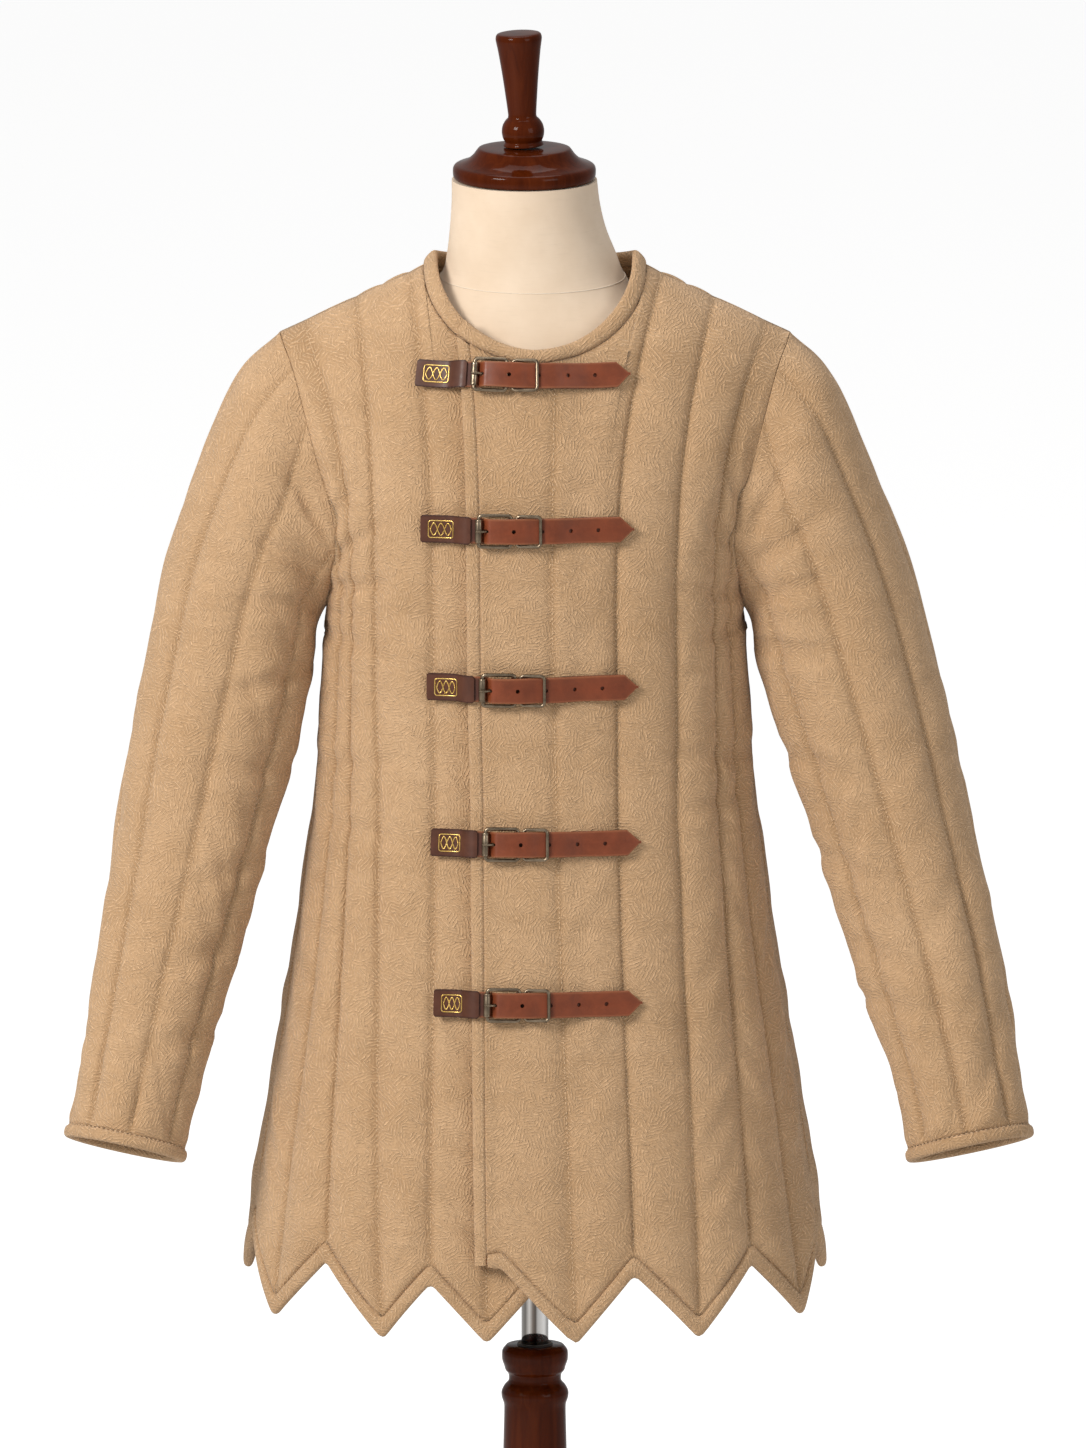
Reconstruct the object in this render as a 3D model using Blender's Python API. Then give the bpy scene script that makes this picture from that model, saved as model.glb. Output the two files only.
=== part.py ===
"""A quilted gambeson with a dagged hem and five strap closures, on a limbless dress form and turned stand.

Metres, +Z up. The stand's axis is the Z axis, the floor is z = 0 and the garment's front faces -Y.
The body's cloth is one outer surface (the functions from ridge to column_points) cut into panels. Each
panel is a closed wall between that surface, moved out in its padded channels, and the same points moved
in by the wall's thickness. The sleeves are tubes with the same kind of wall.
"""
import math

import bmesh
import bpy
import numpy as np

# ---- cloth ----
SEAM = 0.00018          # each piece stops this far short of a seam
GAP = 0.0003            # clearance between loose pieces
ARM_SEAM = 0.0008       # the sleeve starts this far along from the armhole seam, where both pieces twist
HEM_SEAM = 0.0006       # drop from the panel to the hem binding, measured straight down a sloped seam
WALL = 0.0050           # quilted wall at a stitched line
PUFF = 0.0035           # how far a channel stands out between its lines
BACK_PUFF = 0.0010      # and how far it stands in
BINDING = 0.0120        # width of the rolled bindings
HEM_RISE = 0.0187       # the binding's width, measured straight up a 50 degree dag edge
CORNER_RISE = 0.0155    # the same at the upper front's corner channel, where the edge is nearly level
UNDER_SINK = 0.0045     # the under front lies this much deeper
OVER_LIFT = 0.0075      # and the upper front this much prouder, where they overlap

# ---- body: half width and the depths of front and back, at heights ----
BODY_COLUMNS = ("z", "width", "front", "back")
BODY = (
    (0.480, 0.2745, 0.2010, 0.1990),
    (0.571, 0.2620, 0.1960, 0.1930),
    (0.684, 0.2438, 0.1850, 0.1800),
    (0.759, 0.2309, 0.1760, 0.1720),
    (0.834, 0.2190, 0.1670, 0.1620),
    (0.909, 0.2093, 0.1570, 0.1480),
    (0.984, 0.1996, 0.1470, 0.1340),
    (1.060, 0.1955, 0.1410, 0.1240),
    (1.106, 0.1925, 0.1400, 0.1230),
    (1.150, 0.1900, 0.1410, 0.1260),
    (1.203, 0.1970, 0.1420, 0.1300),
    (1.260, 0.2180, 0.1420, 0.1320),
    (1.333, 0.2450, 0.1420, 0.1320),
    (1.400, 0.2590, 0.1420, 0.1320),
    (1.500, 0.2700, 0.1420, 0.1320),
)
ROUNDNESS = 2.35        # exponent of the body's rings, where 2 is an ellipse
ARCH_BASE = 1.17        # the shoulders start to arch in above this height
ARCH_POWER = {-1: 2.2, 1: 2.6}
RIDGE_TOP, RIDGE_SLOPE, RIDGE_ROUND = 1.5145, 0.470, 0.020

# ---- neckline: half width, height of its sides, drop at the front and at the back ----
NECK_SEAM = (0.1025, 1.4665, 0.0735, 0.0145)
NECK_EDGE = (0.0905, 1.4795, 0.0745, 0.0180)
NECK_POWER = {-1: 1.85, 1: 2.0}
NECK_EDGE_IN = 0.95     # the rolled edge leans in towards the neck by this factor

# ---- armhole seam: distance from the centre at heights ----
SHOULDER_X = 0.234
ARMHOLE = ((1.150, 0.190), (1.175, 0.187), (1.203, 0.1835), (1.2275, 0.183), (1.260, 0.1885),
           (1.2875, 0.1973), (1.333, 0.2097), (1.381, 0.2236), (1.4041, 0.234))
CLEAR_SLOPE = 0.03      # a column below its end stays this much of the drop inside the armhole
ARMHOLE_STEPS = (1.392, 1.378, 1.357, 1.333, 1.275, 1.215, 1.175)

# ---- panel columns: angle from the front centre at the chest and hem, and where the column ends ----
COLUMNS = ("name", "chest", "hem", "end", "at", "puff")
LEFT_EDGE = ("edge", -18.7, -11.9, "neck", -0.0705, 0.0)
FRONT_LEFT = (
    ("band", -14.8, -9.5, "neck", -0.0585, 0.0),
    ("channel", -5.0, -6.4, "neck", -0.0200, 0.6),
    ("line", 5.0, 7.6, "neck", 0.0180, 0.0),
    ("channel", 13.5, 14.0, "neck", 0.0660, 1.0),
    ("turn", 17.0, 16.5, "neck", 0.0930, 0.7),
    ("corner", 19.6, 18.4, "shoulder", 0.1025, 0.4),
    ("line", 23.1, 20.3, "shoulder", 0.1160, 0.0),
    ("channel", 32.5, 27.5, "shoulder", 0.1400, 1.0),
    ("line", 43.0, 34.7, "shoulder", 0.1640, 0.0),
    ("channel", 51.5, 41.9, "shoulder", 0.1880, 1.0),
    ("line", 60.5, 49.1, "shoulder", 0.2125, 0.0),
    ("point", 62.3, 52.0, "shoulder", SHOULDER_X, 0.4),
    ("arm1", 63.3, 54.5, "arm", 0, 0.8),
    ("arm2", 64.4, 57.0, "arm", 1, 1.0),
    ("arm3", 65.8, 59.7, "arm", 2, 0.9),
    ("arm4", 67.8, 62.5, "arm", 3, 0.6),
    ("line", 70.5, 65.6, "arm", 4, 0.0),
    ("channel", 75.5, 71.0, "arm", 5, 1.0),
    ("channel", 81.0, 76.5, "arm", 6, 0.8),
    ("side", 90.0, 81.5, "under", 0, 0.0),
)
FRONT_RIGHT = (
    ("under_edge", 2.0, -1.5, "neck", 0.0147, 0.0),
    ("channel", 8.0, 4.0, "neck", 0.0300, 0.2),
    ("line", 14.0, 9.9, "neck", 0.0450, 0.0),
    ("channel", 21.0, 15.6, "neck", 0.0720, 0.8),
    ("turn", 23.6, 17.4, "neck", 0.0930, 0.8),
    ("corner", 26.0, 19.2, "shoulder", 0.1025, 0.5),
    ("line", 29.4, 21.4, "shoulder", 0.1160, 0.0),
    ("channel", 39.5, 27.2, "shoulder", 0.1400, 1.0),
    ("line", 50.5, 33.0, "shoulder", 0.1640, 0.0),
    ("channel", 57.0, 40.0, "shoulder", 0.1880, 1.0),
    ("line", 62.5, 46.9, "shoulder", 0.2125, 0.0),
    ("point", 63.6, 50.0, "shoulder", SHOULDER_X, 0.4),
    ("arm1", 64.5, 52.5, "arm", 0, 0.8),
    ("arm2", 65.5, 55.0, "arm", 1, 1.0),
    ("arm3", 66.7, 57.7, "arm", 2, 0.9),
    ("arm4", 68.4, 60.5, "arm", 3, 0.6),
    ("line", 70.8, 63.3, "arm", 4, 0.0),
    ("channel", 75.5, 69.5, "arm", 5, 1.0),
    ("channel", 81.0, 75.5, "arm", 6, 0.8),
    ("side", 90.0, 81.5, "under", 0, 0.0),
)
BACK_HALF = (
    ("side", 90.0, 81.5, "under", 0, 0.0),
    ("channel", 99.0, 86.5, "arm", 6, 0.8),
    ("channel", 104.5, 92.0, "arm", 5, 1.0),
    ("line", 109.5, 98.0, "arm", 4, 0.0),
    ("arm4", 112.2, 101.5, "arm", 3, 0.6),
    ("arm3", 114.2, 104.0, "arm", 2, 0.9),
    ("arm2", 115.6, 106.3, "arm", 1, 1.0),
    ("arm1", 116.7, 108.3, "arm", 0, 0.8),
    ("point", 117.7, 110.0, "shoulder", SHOULDER_X, 0.4),
    ("line", 119.5, 111.7, "shoulder", 0.2125, 0.0),
    ("channel", 124.0, 118.5, "shoulder", 0.1880, 1.0),
    ("line", 129.8, 125.3, "shoulder", 0.1640, 0.0),
    ("channel", 136.0, 132.0, "shoulder", 0.1520, 1.0),
    ("line", 142.3, 139.0, "shoulder", 0.1400, 0.0),
    ("channel", 148.6, 145.8, "shoulder", 0.1280, 1.0),
    ("line", 154.9, 152.7, "shoulder", 0.1160, 0.0),
    ("corner", 158.5, 156.8, "shoulder", 0.1025, 0.4),
    ("turn", 160.3, 158.8, "neck", 0.0930, 0.6),
    ("channel", 162.5, 161.0, "neck", 0.0740, 0.8),
    ("line", 167.4, 166.3, "neck", 0.0480, 0.0),
    ("channel", 173.7, 173.2, "neck", 0.0240, 1.0),
    ("line", 180.0, 180.0, "neck", 0.0000, 0.0),
)

# ---- dagged hem: the outline's corners, angle and height ----
HEM_LEFT = ((-11.9, 0.568), (-6.4, 0.566), (7.6, 0.494), (20.3, 0.558), (34.7, 0.4955), (49.1, 0.5595),
            (65.6, 0.502), (81.5, 0.574))
HEM_RIGHT = ((-1.5, 0.552), (9.9, 0.494), (21.4, 0.550), (33.0, 0.4955), (46.9, 0.5630), (63.3, 0.503),
             (81.5, 0.574))
HEM_BACK = ((81.5, 0.574), (98.0, 0.518), (111.7, 0.562), (125.3, 0.4985), (139.0, 0.562),
            (152.7, 0.4985), (166.3, 0.562), (180.0, 0.4985))
LEVELS = (0.660, 0.760, 0.860, 0.950, 1.040)   # level rows between the hem and the yoke
YOKE = 1.120            # above this height a column runs to its own end
YOKE_ROWS = 5
ANGLE_BASE = 0.560      # the height that the hem angles are given at

# ---- sleeves: outer and inner edge seen from the front, how far forward, and half depth ----
SLEEVE_COLUMNS = ("outer_x", "outer_z", "inner_x", "inner_z", "y", "half_depth")
SLEEVE_LEFT = (
    (0.2680, 1.3700, 0.1975, 1.1400, -0.002, 0.081),
    (0.2985, 1.3060, 0.2010, 1.1280, -0.005, 0.082),
    (0.3376, 1.2059, 0.2030, 1.1060, -0.010, 0.079),
    (0.3625, 1.1218, 0.2125, 1.0721, -0.018, 0.077),
    (0.3846, 1.0275, 0.2420, 0.9882, -0.030, 0.072),
    (0.4076, 0.9236, 0.2748, 0.8880, -0.050, 0.066),
    (0.4296, 0.8208, 0.3082, 0.7879, -0.075, 0.060),
    (0.4444, 0.7309, 0.3358, 0.7009, -0.100, 0.055),
    (0.4563, 0.6730, 0.3441, 0.6505, -0.115, 0.052),
)
SLEEVE_RIGHT = (
    (0.2680, 1.3700, 0.1975, 1.1400, -0.002, 0.081),
    (0.2985, 1.3060, 0.2010, 1.1280, -0.005, 0.082),
    (0.3349, 1.2059, 0.2020, 1.1060, -0.010, 0.079),
    (0.3533, 1.1218, 0.2080, 1.0721, -0.018, 0.077),
    (0.3717, 1.0275, 0.2285, 0.9882, -0.030, 0.072),
    (0.3873, 0.9236, 0.2576, 0.8880, -0.050, 0.066),
    (0.4030, 0.8208, 0.2889, 0.7879, -0.075, 0.060),
    (0.4177, 0.7309, 0.3128, 0.7009, -0.100, 0.055),
    (0.4306, 0.6730, 0.3238, 0.6505, -0.115, 0.052),
)
SLEEVE_SIDES = 16       # eight stitched lines and the eight channels between them
SLEEVE_ROWS = (0.0, 0.5, 1.0, 1.5, 2.0, 3.0, 4.0, 5.0, 6.0, 7.0, 8.0, 8.80)
CUFF_SEAM = 8.80        # the cuff binding starts here, in rings

# ---- closures: height, the roller's place and the patch's length to the roller, for each row ----
CLOSURE_COLUMNS = ("z", "roller_x", "patch")
CLOSURES = (
    (1.3815, -0.0529, 0.0538),
    (1.245, -0.0497, 0.0528),
    (1.098, -0.0463, 0.0503),
    (0.954, -0.0437, 0.0495),
    (0.808, -0.0423, 0.0488),
)
STRAP_HALF, STRAP_T = 0.0118, 0.0025
STRAP_TIP = 0.1385      # the point, from the roller
POINT = 0.0120
CHAPE = (0.0250, 0.1350, 0.0020)
PATCH_HALF, PATCH_T, PATCH_STOP = 0.0128, 0.0016, 0.0065
BADGE = (0.0240, 0.0156, 0.0008, 0.0175)
HOLE_HALF, HOLE_FIRST, HOLE_PITCH = 0.0018, 0.0308, 0.0253
SLOT = (0.0040, 0.0110)
HINGE, WIRE, FRAME_HALF = 0.0285, 0.0018, 0.0145
ROLLER = (0.0023, 0.0035, 0.0108)
KEEPER = (0.0335, 0.0548, 0.0016, 0.0140)
PRONG_R = 0.0011
PRONG_PATH = ((0.0251, 0, 0.0160), (0.0120, 0, 0.0160), (0.0095, 0, 0.0167), (0.0065, 0, 0.0197),
              (0.0030, 0, 0.0219), (-0.0020, 0, 0.0220))
ROLLER_H, HINGE_H = 0.0168, 0.0163      # heights of the roller's and the hinge bar's axes over the body

# ---- dress form and stand ----
FORM_COLUMNS = ("z", "width", "front", "back", "centre")
FORM = (
    (0.7400, 0.150, 0.118, 0.132, 0.0),
    (0.7480, 0.172, 0.138, 0.150, 0.0),
    (0.8000, 0.184, 0.147, 0.153, 0.0),
    (0.9000, 0.180, 0.138, 0.130, 0.0),
    (1.0000, 0.170, 0.122, 0.104, 0.0),
    (1.0800, 0.167, 0.118, 0.098, 0.0),
    (1.1500, 0.168, 0.120, 0.102, 0.0),
    (1.2300, 0.168, 0.120, 0.102, 0.0),
    (1.3000, 0.174, 0.114, 0.098, 0.0),
    (1.3500, 0.176, 0.105, 0.090, 0.0),
    (1.4000, 0.150, 0.0910, 0.0780, 0.0),
    (1.4250, 0.118, 0.0800, 0.0680, -0.001),
    (1.4450, 0.0940, 0.0720, 0.0600, -0.002),
    (1.4600, 0.0830, 0.0680, 0.0570, -0.002),
    (1.4760, 0.0780, 0.0660, 0.0570, -0.003),
    (1.5000, 0.0718, 0.0655, 0.0600, -0.0064),
    (1.5250, 0.0680, 0.0655, 0.0655, -0.0085),
    (1.5460, 0.0667, 0.0655, 0.0655, -0.0097),
)
FORM_SIDES = 24
NECK_CENTRE = -0.0097
CAP_PROFILE = ((0.0, 1.5463), (0.0630, 1.5463), (0.0655, 1.5485), (0.0658, 1.5565), (0.0640, 1.5595),
               (0.0580, 1.5612), (0.0520, 1.5640), (0.0470, 1.5685), (0.0435, 1.5735), (0.0415, 1.5757),
               (0.0, 1.5757))
FINIAL_PROFILE = ((0.0, 0.0003), (0.0184, 0.0003), (0.0184, 0.0030), (0.0168, 0.0050), (0.0188, 0.0085),
                  (0.0197, 0.0140), (0.0188, 0.0200), (0.0158, 0.0250), (0.0128, 0.0275), (0.0132, 0.0340),
                  (0.0163, 0.0650), (0.0195, 0.0900), (0.0210, 0.0980), (0.0214, 0.1010), (0.0208, 0.1042),
                  (0.0189, 0.1058), (0.0, 0.1060))
FINIAL_LEAN = math.radians(-2.6)
POLE_R, POLE_FOOT = 0.0125, 0.3500
COLUMN_TOP = 0.4535
BUSHING = (0.0128, 0.0165, 0.0018)
BORE = 0.0128
COLUMN_PROFILE = ((0.0265, 0.4535), (0.0302, 0.4492), (0.0306, 0.4450), (0.0304, 0.4398), (0.0282, 0.4340),
                  (0.0275, 0.4305), (0.0242, 0.4270), (0.0239, 0.4200), (0.0283, 0.4158), (0.0311, 0.4100),
                  (0.0308, 0.4048), (0.0287, 0.3992), (0.0283, 0.3950), (0.0292, 0.3600), (0.0325, 0.2200),
                  (0.0345, 0.1200), (0.0300, 0.1050), (0.0300, 0.0980), (0.0400, 0.0900), (0.0430, 0.0780),
                  (0.0400, 0.0680), (0.0330, 0.0620), (0.0480, 0.0480), (0.0560, 0.0403), (0.0, 0.0403))
BASE_PROFILE = ((0.0, 0.0), (0.1850, 0.0), (0.1900, 0.0050), (0.1900, 0.0180), (0.1840, 0.0240),
                (0.1760, 0.0260), (0.1500, 0.0300), (0.0650, 0.0360), (0.0600, 0.0400), (0.0, 0.0400))
TURNED_SIDES = 24

# ---- materials: colour, roughness, metallic ----
FINISHES = {
    "quilted_cloth": ((0.55, 0.39, 0.23), 0.90, 0.0),
    "cloth_binding": ((0.52, 0.36, 0.21), 0.90, 0.0),
    "strap_leather": ((0.27, 0.075, 0.03), 0.55, 0.0),
    "patch_leather": ((0.07, 0.025, 0.018), 0.60, 0.0),
    "gold_thread": ((0.75, 0.52, 0.12), 0.35, 0.8),
    "nickel": ((0.35, 0.32, 0.28), 0.30, 1.0),
    "form_linen": ((0.78, 0.71, 0.60), 0.85, 0.0),
    "mahogany": ((0.07, 0.012, 0.008), 0.15, 0.0),
    "chrome": ((0.75, 0.75, 0.76), 0.12, 1.0),
    "bushing_plastic": ((0.02, 0.02, 0.02), 0.40, 0.0),
}


# ---------------------------------------------------------------- curves
def curve(keys, values):
    """A smooth function through the keys, with slopes taken from the neighbouring points."""
    keys, values = np.array(keys, float), np.array(values, float)
    steps = np.diff(values) / np.diff(keys)
    slopes = np.concatenate([steps[:1], (steps[:-1] + steps[1:]) / 2, steps[-1:]])

    def value(x):
        x = np.clip(np.asarray(x, float), keys[0], keys[-1])
        i = np.clip(np.searchsorted(keys, x) - 1, 0, len(keys) - 2)
        span = keys[i + 1] - keys[i]
        t = (x - keys[i]) / span
        return ((2 * t**3 - 3 * t**2 + 1) * values[i] + (t**3 - 2 * t**2 + t) * span * slopes[i]
                + (3 * t**2 - 2 * t**3) * values[i + 1] + (t**3 - t**2) * span * slopes[i + 1])
    return value


def table_curves(rows, names):
    """One smooth function of the first column for each of the others."""
    rows = np.array(rows, float)
    return {name: curve(rows[:, 0], rows[:, i]) for i, name in enumerate(names) if i}


def ease(t):
    t = np.clip(t, 0.0, 1.0)
    return t * t * (3 - 2 * t)


def unit(v):
    v = np.asarray(v, float)
    return v / np.maximum(np.linalg.norm(v, axis=-1, keepdims=True), 1e-12)


def resample(points, lengths):
    """Points at the given distances along a polyline."""
    run = np.concatenate([[0], np.cumsum(np.linalg.norm(np.diff(points, axis=0), axis=1))])
    return np.stack([np.interp(lengths, run, points[:, i]) for i in range(3)], axis=1)


def length_of(points):
    return np.linalg.norm(np.diff(points, axis=0), axis=1).sum()


body = table_curves(BODY, BODY_COLUMNS)
armhole_x = curve([z for z, _ in ARMHOLE], [x for _, x in ARMHOLE])


# ---------------------------------------------------------------- the garment's surface
def ridge(x):
    """Height of the shoulder line at a distance from the centre."""
    return RIDGE_TOP - RIDGE_SLOPE * np.sqrt(np.asarray(x) ** 2 + RIDGE_ROUND**2)


def arch_step(x, z):
    return np.clip((z - ARCH_BASE) / (ridge(x) - ARCH_BASE), 0.0, None)


def depth(side, x, z):
    """How far the surface stands from the middle plane, at the front (side -1) or the back (side 1)."""
    reach = body["front"](z) if side < 0 else body["back"](z)
    across = np.clip(1 - (np.abs(x) / body["width"](z)) ** ROUNDNESS, 0, 1) ** (1 / ROUNDNESS)
    arch = np.sqrt(np.clip(1 - arch_step(x, z) ** ARCH_POWER[side], 0, 1))
    return reach * across * arch


def level_set(x, y, z):
    """Zero on the surface, negative inside it."""
    side = -1 if y < 0 else 1
    reach = body["front"](z) if side < 0 else body["back"](z)
    across = 1 - (abs(x) / body["width"](z)) ** ROUNDNESS
    arch = 1 - arch_step(x, z) ** ARCH_POWER[side]
    arch = math.copysign(abs(arch) ** (ROUNDNESS / 2), arch)
    return (abs(y) / reach) ** ROUNDNESS - across * arch


def normal_at(p, step=0.0015):
    """The surface's outward normal."""
    slope = []
    for axis in range(3):
        ahead, behind = np.array(p, float), np.array(p, float)
        ahead[axis] += step
        behind[axis] -= step
        slope.append(float(level_set(*ahead) - level_set(*behind)))
    return unit(slope)


def ring_point(angle, z):
    """A point of the body's ring at a height, by its angle from the front centre."""
    a = math.radians(angle)
    x = body["width"](z) * math.sin(a)
    side = -1 if math.cos(a) > 0 else 1
    reach = body["front"](z) if side < 0 else body["back"](z)
    across = max(0.0, 1 - abs(math.sin(a)) ** ROUNDNESS) ** (1 / ROUNDNESS)
    return np.array([float(x), float(side * reach * across), z])


def neck_point(x, side, seam=True):
    """A point of the neck seam, or of the rolled edge inside it, by its place along the seam."""
    half, top, *drops = NECK_SEAM
    power = NECK_POWER[side]
    turn = math.asin(min(1.0, abs(x) / half) ** (power / 2))
    z = top - drops[0 if side < 0 else 1] * math.cos(turn) ** (2 / power)
    y = side * float(depth(side, x, z))
    if seam:
        return np.array([x, y, z])
    half, top, *drops = NECK_EDGE
    z = top - drops[0 if side < 0 else 1] * math.cos(turn) ** (2 / power)
    return np.array([math.copysign(half * math.sin(turn) ** (2 / power), x), y * NECK_EDGE_IN, z])


def armhole_point(z, side, hand):
    """A point of the armhole seam. The hand is 1 on the wearer's left."""
    x = float(armhole_x(z))
    return np.array([hand * x, side * float(depth(side, x, z)), z])


def column_end(column, side, hand):
    kind, at = column["end"], column["at"]
    if kind == "neck":
        return neck_point(at, side)
    if kind == "shoulder":
        return np.array([hand * at, 0.0, float(ridge(at))])
    if kind == "arm":
        return armhole_point(ARMHOLE_STEPS[at], side, hand)
    return np.array([hand * ARMHOLE[0][1], 0.0, ARMHOLE[0][0]])


def column_points(column, side, hand, hem_z):
    """Points of one column from the hem's seam to its end."""
    chest, hem = column["chest"], column["hem"]

    def low(z):
        share = np.clip((z - ANGLE_BASE) / (YOKE - ANGLE_BASE), -0.2, 1)
        point = ring_point(hem + (chest - hem) * share, z)
        return point * [hand if side > 0 or hand > 0 else 1, 1, 1]

    lower = [low(hem_z)] + [low(z) for z in LEVELS]
    start, end = low(YOKE), column_end(column, side, hand)
    lean = (low(YOKE) - low(YOKE - 0.01))[0] / 0.01
    w = np.linspace(0, 1, 90)
    z = start[2] + (end[2] - start[2]) * np.sin(w * math.pi / 2)
    w = (z - start[2]) / (end[2] - start[2])
    x = start[0] + lean * (z - start[2]) * (1 - w) ** 2 + (end[0] - start[0]) * w**3
    if column["end"] != "neck":
        reach = np.where(z > ARMHOLE[0][0], armhole_x(z), 1) - CLEAR_SLOPE * (end[2] - z)
        x = hand * np.minimum(np.abs(x), reach)
    y = side * depth(side, x, z)
    upper = np.stack([x, y, z], axis=1)
    upper[-1] = end
    rows = np.linspace(0, length_of(upper) - SEAM, YOKE_ROWS + 1)
    return np.array(lower + list(resample(upper, rows)))


def as_dicts(rows):
    return [dict(zip(COLUMNS, row)) for row in rows]


def hem_height(corners, angle):
    angles, heights = zip(*corners)
    return float(np.interp(abs(angle) if angles[0] > 0 else angle, angles, heights))


def overlap_shift(side, x, layer):
    """How far out a front lies where the two overlap."""
    if layer == "over":
        return OVER_LIFT * ease((0.048 - x) / 0.036)
    if layer == "under":
        return -UNDER_SINK * ease((x + 0.100) / 0.038)
    return 0.0 * x


def seam_rise(column):
    """How far the hem's seam lies above its edge at a column."""
    if column["name"] == "band":
        return BINDING
    at_corner = column["name"] == "channel" and column["hem"] == HEM_LEFT[1][0]
    return CORNER_RISE if at_corner else HEM_RISE


def panel_grid(columns, side, corners, layer, mirror=False):
    """Base points, normals, shift and puff of a panel, column by column."""
    base, puffs = [], []
    for column in columns:
        hand = -1 if mirror else 1
        hem_z = hem_height(corners, column["hem"]) + seam_rise(column)
        points = column_points(column, side, hand, hem_z)
        base.append(points)
        row_puff = np.full(len(points), column["puff"])
        row_puff[0] = 0.0
        row_puff[-1] = 0.0
        if column["end"] == "arm":
            row_puff[-YOKE_ROWS:] *= np.linspace(0.8, -0.4, YOKE_ROWS).clip(0)
        puffs.append(row_puff)
    base, puffs = np.array(base), np.array(puffs)
    normals = np.array([[normal_at(p) for p in line] for line in base])
    return base, normals, overlap_shift(side, base[:, :, 0], layer), puffs


def mirrored_columns(rows):
    """Columns of the wearer's right side: angles and neck places change sign."""
    out = []
    for c in as_dicts(rows):
        c["chest"], c["hem"] = -c["chest"], -c["hem"]
        if c["end"] == "neck":
            c["at"] = -c["at"]
        out.append(c)
    return out


# ---------------------------------------------------------------- meshes
def add_object(name, verts, faces, finish, smooth=True):
    mesh = bpy.data.meshes.new(name)
    mesh.from_pydata([tuple(map(float, v)) for v in verts], [], faces)
    mesh.update()
    material = bpy.data.materials.get(finish) or new_material(finish)
    mesh.materials.append(material)
    obj = bpy.data.objects.new(name, mesh)
    bpy.context.scene.collection.objects.link(obj)
    face_out(mesh)
    if smooth:
        mesh.shade_smooth()
        mesh.set_sharp_from_angle(angle=math.radians(40))
    return obj


def face_out(mesh):
    """Turns every face outwards."""
    bm = bmesh.new()
    bm.from_mesh(mesh)
    bmesh.ops.recalc_face_normals(bm, faces=bm.faces)
    if bm.calc_volume(signed=True) < 0:
        bmesh.ops.reverse_faces(bm, faces=bm.faces)
    bm.to_mesh(mesh)
    bm.free()


def new_material(name):
    colour, roughness, metallic = FINISHES[name]
    material = bpy.data.materials.new(name)
    material.use_nodes = True
    shader = material.node_tree.nodes["Principled BSDF"]
    shader.inputs["Base Color"].default_value = (*colour, 1.0)
    shader.inputs["Roughness"].default_value = roughness
    shader.inputs["Metallic"].default_value = metallic
    return material


def slab(name, top, bottom, finish, missing=()):
    """A closed wall between two grids of points, without the cells that are missing."""
    n, m = top.shape[:2]
    verts = np.concatenate([top.reshape(-1, 3), bottom.reshape(-1, 3)])
    cells = {(i, j) for i in range(n - 1) for j in range(m - 1)} - set(missing)

    def v(i, j, low):
        return i * m + j + (n * m if low else 0)

    faces = []
    for i, j in sorted(cells):
        faces.append((v(i, j, 0), v(i + 1, j, 0), v(i + 1, j + 1, 0), v(i, j + 1, 0)))
        faces.append((v(i, j, 1), v(i, j + 1, 1), v(i + 1, j + 1, 1), v(i + 1, j, 1)))
        for di, dj, a, b in ((-1, 0, (0, 0), (0, 1)), (1, 0, (1, 0), (1, 1)),
                             (0, -1, (0, 0), (1, 0)), (0, 1, (0, 1), (1, 1))):
            if (i + di, j + dj) not in cells:
                p, q = (i + a[0], j + a[1]), (i + b[0], j + b[1])
                faces.append((v(*p, 0), v(*q, 0), v(*q, 1), v(*p, 1)))
    used = sorted({k for face in faces for k in face})
    place = {k: i for i, k in enumerate(used)}
    return add_object(name, verts[used], [tuple(place[k] for k in face) for face in faces], finish)


def loft(name, rings, finish, closed=False, smooth=True):
    """A solid through rings of points, with flat ends unless it closes on itself."""
    count, sides = len(rings), len(rings[0])
    verts = np.concatenate(rings)
    faces = []
    for i in range(count if closed else count - 1):
        j = (i + 1) % count
        for k in range(sides):
            n = (k + 1) % sides
            faces.append((i * sides + k, i * sides + n, j * sides + n, j * sides + k))
    if not closed:
        faces.append(tuple(range(sides)))
        faces.append(tuple((count - 1) * sides + k for k in reversed(range(sides))))
    return add_object(name, verts, faces, finish, smooth)


def turned(name, profile, finish, sides=TURNED_SIDES, place=(0, 0, 0), lean=0.0):
    """A turned solid. A profile that starts and ends on the axis is closed there."""
    rings, faces, verts = [], [], []
    for r, z in profile:
        if r == 0:
            rings.append([len(verts)])
            verts.append((0, 0, z))
            continue
        rings.append(list(range(len(verts), len(verts) + sides)))
        for k in range(sides):
            a = 2 * math.pi * k / sides
            verts.append((r * math.cos(a), r * math.sin(a), z))
    hollow = len(rings[0]) > 1
    for i in range(len(rings) if hollow else len(rings) - 1):
        one, two = rings[i], rings[(i + 1) % len(rings)]
        for k in range(sides):
            n = (k + 1) % sides
            if len(one) == 1:
                faces.append((one[0], two[k], two[n]))
            elif len(two) == 1:
                faces.append((one[k], one[n], two[0]))
            else:
                faces.append((one[k], one[n], two[n], two[k]))
    obj = add_object(name, verts, faces, finish)
    obj.location = place
    obj.rotation_euler = (0, lean, 0)
    return obj


# ---------------------------------------------------------------- cloth pieces
BINDING_SECTION = ((0.0, 0.0010), (0.4, 0.0022), (0.85, 0.0010), (1.0, -0.0025), (0.85, -0.0062),
                   (0.4, -0.0070), (0.0, -0.0060))   # share of the width, height over the surface


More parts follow.
